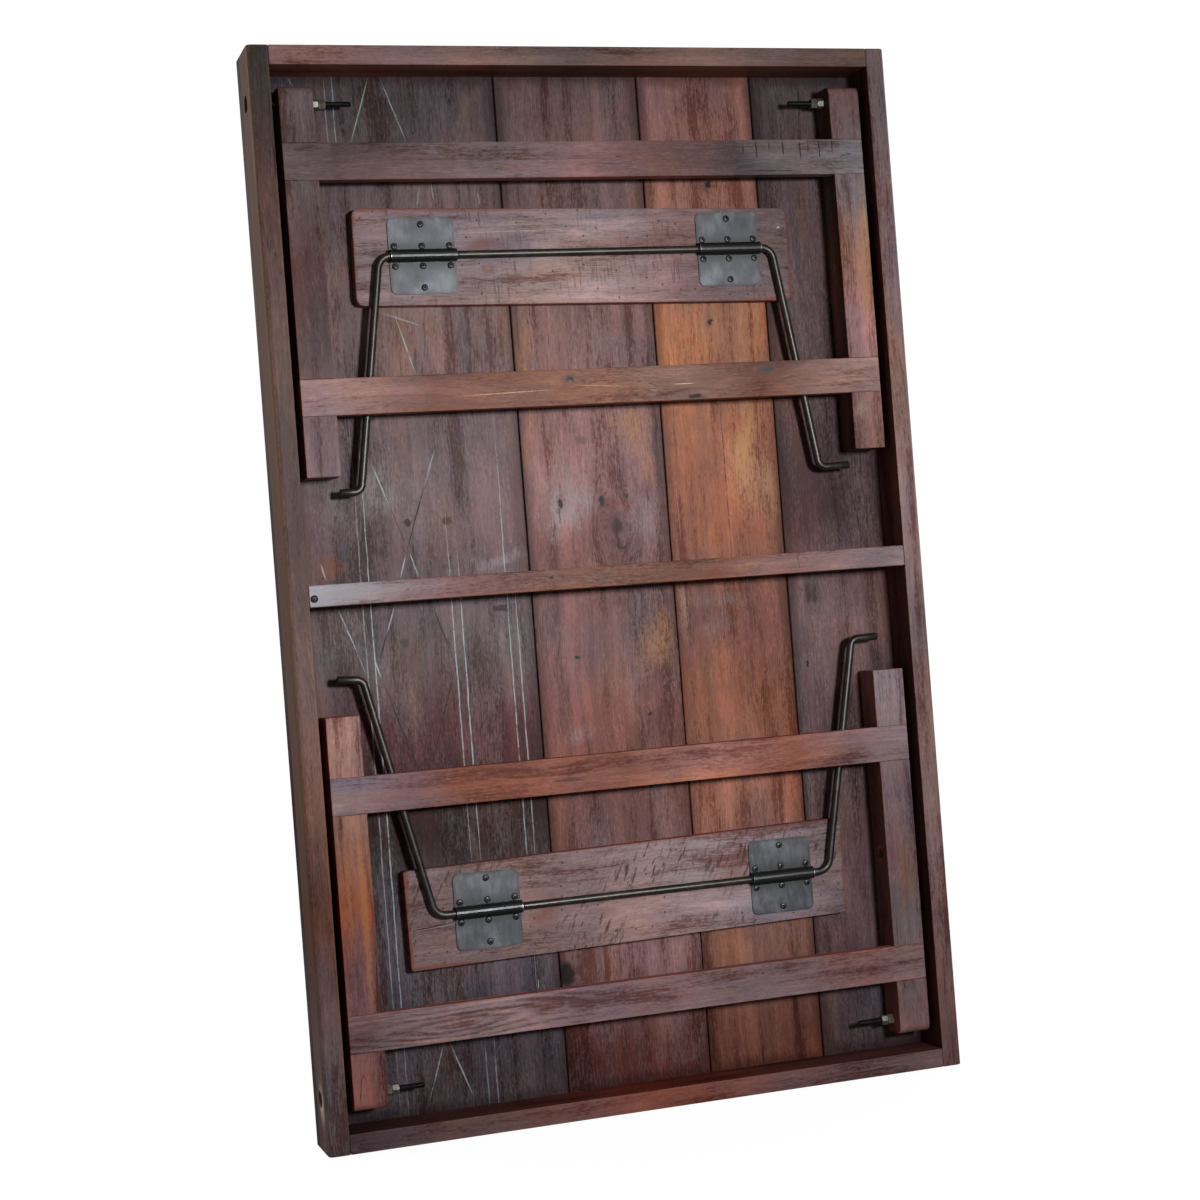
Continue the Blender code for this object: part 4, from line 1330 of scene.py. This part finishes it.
def screw_master():
    """A pan-headed screw with a cross recess, about its seat, driven towards +Y."""
    profile = (
        (0.0004, SCREW_HEAD_T, 0.5),
        (SCREW_HEAD_R * 0.45, SCREW_HEAD_T * 0.92, 0.4),
        (SCREW_HEAD_R * 0.72, SCREW_HEAD_T * 0.78, 0.9),
        (SCREW_HEAD_R * 0.92, SCREW_HEAD_T * 0.5, 1.0),
        (SCREW_HEAD_R, SCREW_HEAD_T * 0.22, 0.6),
        (SCREW_HEAD_R, 0.00002, 0.0),
        (SCREW_R, 0.00001, 0.0),
        (SCREW_R, 0.003 - SCREW_LENGTH, 0.0),
        (0.0002, -SCREW_LENGTH, 0.0),
    )
    skin = [([(x, -out, z) for x, z in circle(SCREW_SIDES, radius)], worn) for radius, out, worn in profile]
    blank = place("screw_blank", rings_mesh("screw_blank", skin, sharp=45))

    outline = []
    for quarter in range(4):
        turn = Matrix.Rotation(quarter * math.pi / 2, 2)
        for x, z in ((CROSS_HALF, CROSS_HALF), (CROSS_HALF, CROSS_ARM), (-CROSS_HALF, CROSS_ARM)):
            outline.append(turn @ Vector((x, z)))
    bm = bmesh.new()
    near = [bm.verts.new((p.x, -0.004, p.y)) for p in outline]
    floor_y = CROSS_DEPTH - SCREW_HEAD_T
    far = [bm.verts.new((p.x * 0.62, floor_y, p.y * 0.62)) for p in outline]
    bridge(bm, near, far)
    bm.faces.new(near)
    bm.faces.new(reversed(far))
    bmesh.ops.recalc_face_normals(bm, faces=bm.faces)
    tool = place("cross_tool", bake(bm, "cross_tool"))
    cut = blank.modifiers.new("cross", "BOOLEAN")
    cut.operation = "DIFFERENCE"
    cut.solver = "EXACT"
    cut.object = tool
    bpy.context.view_layer.update()
    made = bpy.data.meshes.new_from_object(blank.evaluated_get(bpy.context.evaluated_depsgraph_get()))
    bpy.data.objects.remove(blank, do_unlink=True)
    bpy.data.objects.remove(tool, do_unlink=True)
    made.name = "screw_master"
    # Faces of the cross recess carry painted shade.
    recess_shade = made.attributes.new("recess_shade", "FLOAT", "FACE")
    for face, mark in zip(made.polygons, recess_shade.data):
        radius = math.hypot(face.center.x, face.center.z)
        mark.value = float(radius < CROSS_ARM and -SCREW_HEAD_T * 0.72 < face.center.y < 0.0)
    return made


MASTER = screw_master()


def screws_mesh(name, seats, turns):
    """One mesh of screws, each at a seat and turned about its own axis."""
    bm = bmesh.new()
    for seat, turn in zip(seats, turns):
        one = MASTER.copy()
        one.transform(Matrix.Translation(seat) @ Matrix.Rotation(math.radians(turn), 4, "Y"))
        bm.from_mesh(one)
        bpy.data.meshes.remove(one)
    return bake(bm, name, 35)


def seat_of(node):
    """Where a CAD screw's head sits."""
    low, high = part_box(node)
    return Vector(((low.x + high.x) / 2, low.y + SCREW_HEAD_T, (low.z + high.z) / 2))


def build_hardware():
    turn = 11
    seat = seat_of("batten_screw_left")
    mesh = screws_mesh("batten_screw_left_fine", [seat], [35])
    link("batten_screw_left_fine", mesh, SCREW_STEEL, "screw_steel", "table_top", "batten_screw_left")
    for end in ("upper", "lower"):
        for word, side in (("left", -1), ("right", 1)):
            name = f"{end}_arm_{word}"
            link(f"{name}_fine", arm(name, end, side), ARM_STEEL, "arm_steel", f"{end}_brace", name)

            bolt_body = BODY_OF[f"pivot_bolt_{end}_{word}"]
            name = f"pivot_bolt_{end}_{word}"
            link(f"{name}_fine", bolt(name, side), BOLT_STEEL, "bolt_steel", bolt_body, name)
            for kind, degrees in (("pivot_nut", 13), ("lock_nut", 34)):
                name = f"{kind}_{end}_{word}"
                link(f"{name}_fine", nut(name, degrees), ZINC, "zinc", BODY_OF[name], name)

            seats = []
            for number in range(1, 5):
                name = f"{end}_plate_screw_{word}_{number}"
                seats.append(seat_of(name))
                turn = (turn * 37 + 11) % 90
                mesh = screws_mesh(f"{name}_fine", [seats[-1]], [turn])
                link(f"{name}_fine", mesh, SCREW_STEEL, "screw_steel", "table_top", name)

            plate = f"{end}_brace_plate_{word}"
            low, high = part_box(plate)
            middle = (low + high) / 2
            row, turns = [], []
            for sx in (-1, 1):
                for sz in (-1, 1):
                    row.append(Vector((middle.x + sx * ROW_SCREW_X, seats[0].y, middle.z + sz * ROW_SCREW_Z)))
                    turn = (turn * 37 + 11) % 90
                    turns.append(turn)
            name = f"{end}_row_screws_{word}"
            link(name, screws_mesh(name, row, turns), SCREW_STEEL, "screw_steel", "table_top")

            paint(plate, plate_metal(f"{plate}_metal", low, high, middle.z))
        paint(f"{end}_cross_rod", ARM_STEEL)


BODY_OF = {}
for body, facts in frame["record"]["behaviour"]["bodies"].items():
    for node in facts if isinstance(facts, list) else facts.get("nodes", ()):
        BODY_OF[node] = body

build_hardware()


# Floor, light and camera


def sweep_floor():
    """A pale floor that curves up into a wall all the way round, so that no view shows a horizon."""
    flat, curve, top = 3.4, 1.8, 7.0
    profile = [(0.6, 0.0), (1.6, 0.0), (flat, 0.0)]
    for k in range(1, 13):
        angle = math.pi / 2 * k / 12
        profile.append((flat + curve * math.sin(angle), curve * (1 - math.cos(angle))))
    profile.append((flat + curve, top))
    bm = bmesh.new()
    rows = [[bm.verts.new((x, y, z)) for x, y in circle(96, radius)] for radius, z in profile]
    bm.faces.new(rows[0])
    for first, second in zip(rows, rows[1:]):
        bridge(bm, first, second)
    bmesh.ops.recalc_face_normals(bm, faces=bm.faces)
    bmesh.ops.reverse_faces(bm, faces=bm.faces)
    mesh = bake(bm, "studio_floor")
    mesh.shade_smooth()
    floor = place("studio_floor", mesh)
    s = Shader("studio_paper")
    far = s.vector("LENGTH", s.vector("MULTIPLY", s.point, (1.0, 1.0, 0.0)))
    paper = s.new("BsdfDiffuse")
    paper.inputs["Color"].default_value = (0.92, 0.92, 0.92, 1.0)
    glow = s.new("Emission")
    glow.inputs["Color"].default_value = (1.0, 1.0, 1.0, 1.0)
    glow.inputs["Strength"].default_value = 1.04
    both = s.new("MixShader")
    s.feed(both.inputs[0], s.smooth(far, 0.25, 0.9, 0.93, 1.0))
    s.tree.links.new(paper.outputs[0], both.inputs[1])
    s.tree.links.new(glow.outputs[0], both.inputs[2])
    s.tree.links.new(both.outputs[0], s.tree.nodes["Material Output"].inputs["Surface"])
    mesh.materials.append(s.material)
    floor.visible_diffuse = False
    floor.visible_glossy = False
    floor.visible_shadow = False


def soft_light(name, at, aim, size, watts, spread, colour=(1.0, 1.0, 1.0)):
    lamp = bpy.data.lights.new(name, "AREA")
    lamp.shape = "SQUARE"
    lamp.size = size
    lamp.energy = watts
    lamp.spread = math.radians(spread)
    lamp.color = colour
    obj = place(name, lamp)
    obj.location = at
    obj.rotation_euler = (aim - at).to_track_quat("-Z", "Y").to_euler()


def studio():
    sweep_floor()
    soft_light("key", KEY_AT, KEY_AIM, KEY_SIZE, KEY_WATTS, KEY_SPREAD, (1.0, 0.985, 0.96))
    soft_light("fill_left", FILL_AT, KEY_AIM, FILL_SIZE, FILL_WATTS, FILL_SPREAD)
    mirrored = Vector((-FILL_AT.x, FILL_AT.y, FILL_AT.z))
    soft_light("fill_right", mirrored, KEY_AIM, FILL_SIZE, FILL_WATTS, FILL_SPREAD)
    world = bpy.data.worlds.new("studio")
    world.use_nodes = True
    background = world.node_tree.nodes["Background"]
    background.inputs["Color"].default_value = (*WORLD_COLOUR, 1.0)
    background.inputs["Strength"].default_value = WORLD_STRENGTH
    bpy.context.scene.world = world

    data = bpy.data.cameras.new("camera")
    data.lens = CAMERA_LENS
    data.sensor_width = CAMERA_SENSOR
    camera = place("camera", data)
    camera.location = CAMERA_AT
    camera.rotation_euler = [math.radians(angle) for angle in CAMERA_TURN]
    bpy.context.scene.camera = camera
    bpy.context.scene.view_settings.view_transform = "Standard"


studio()
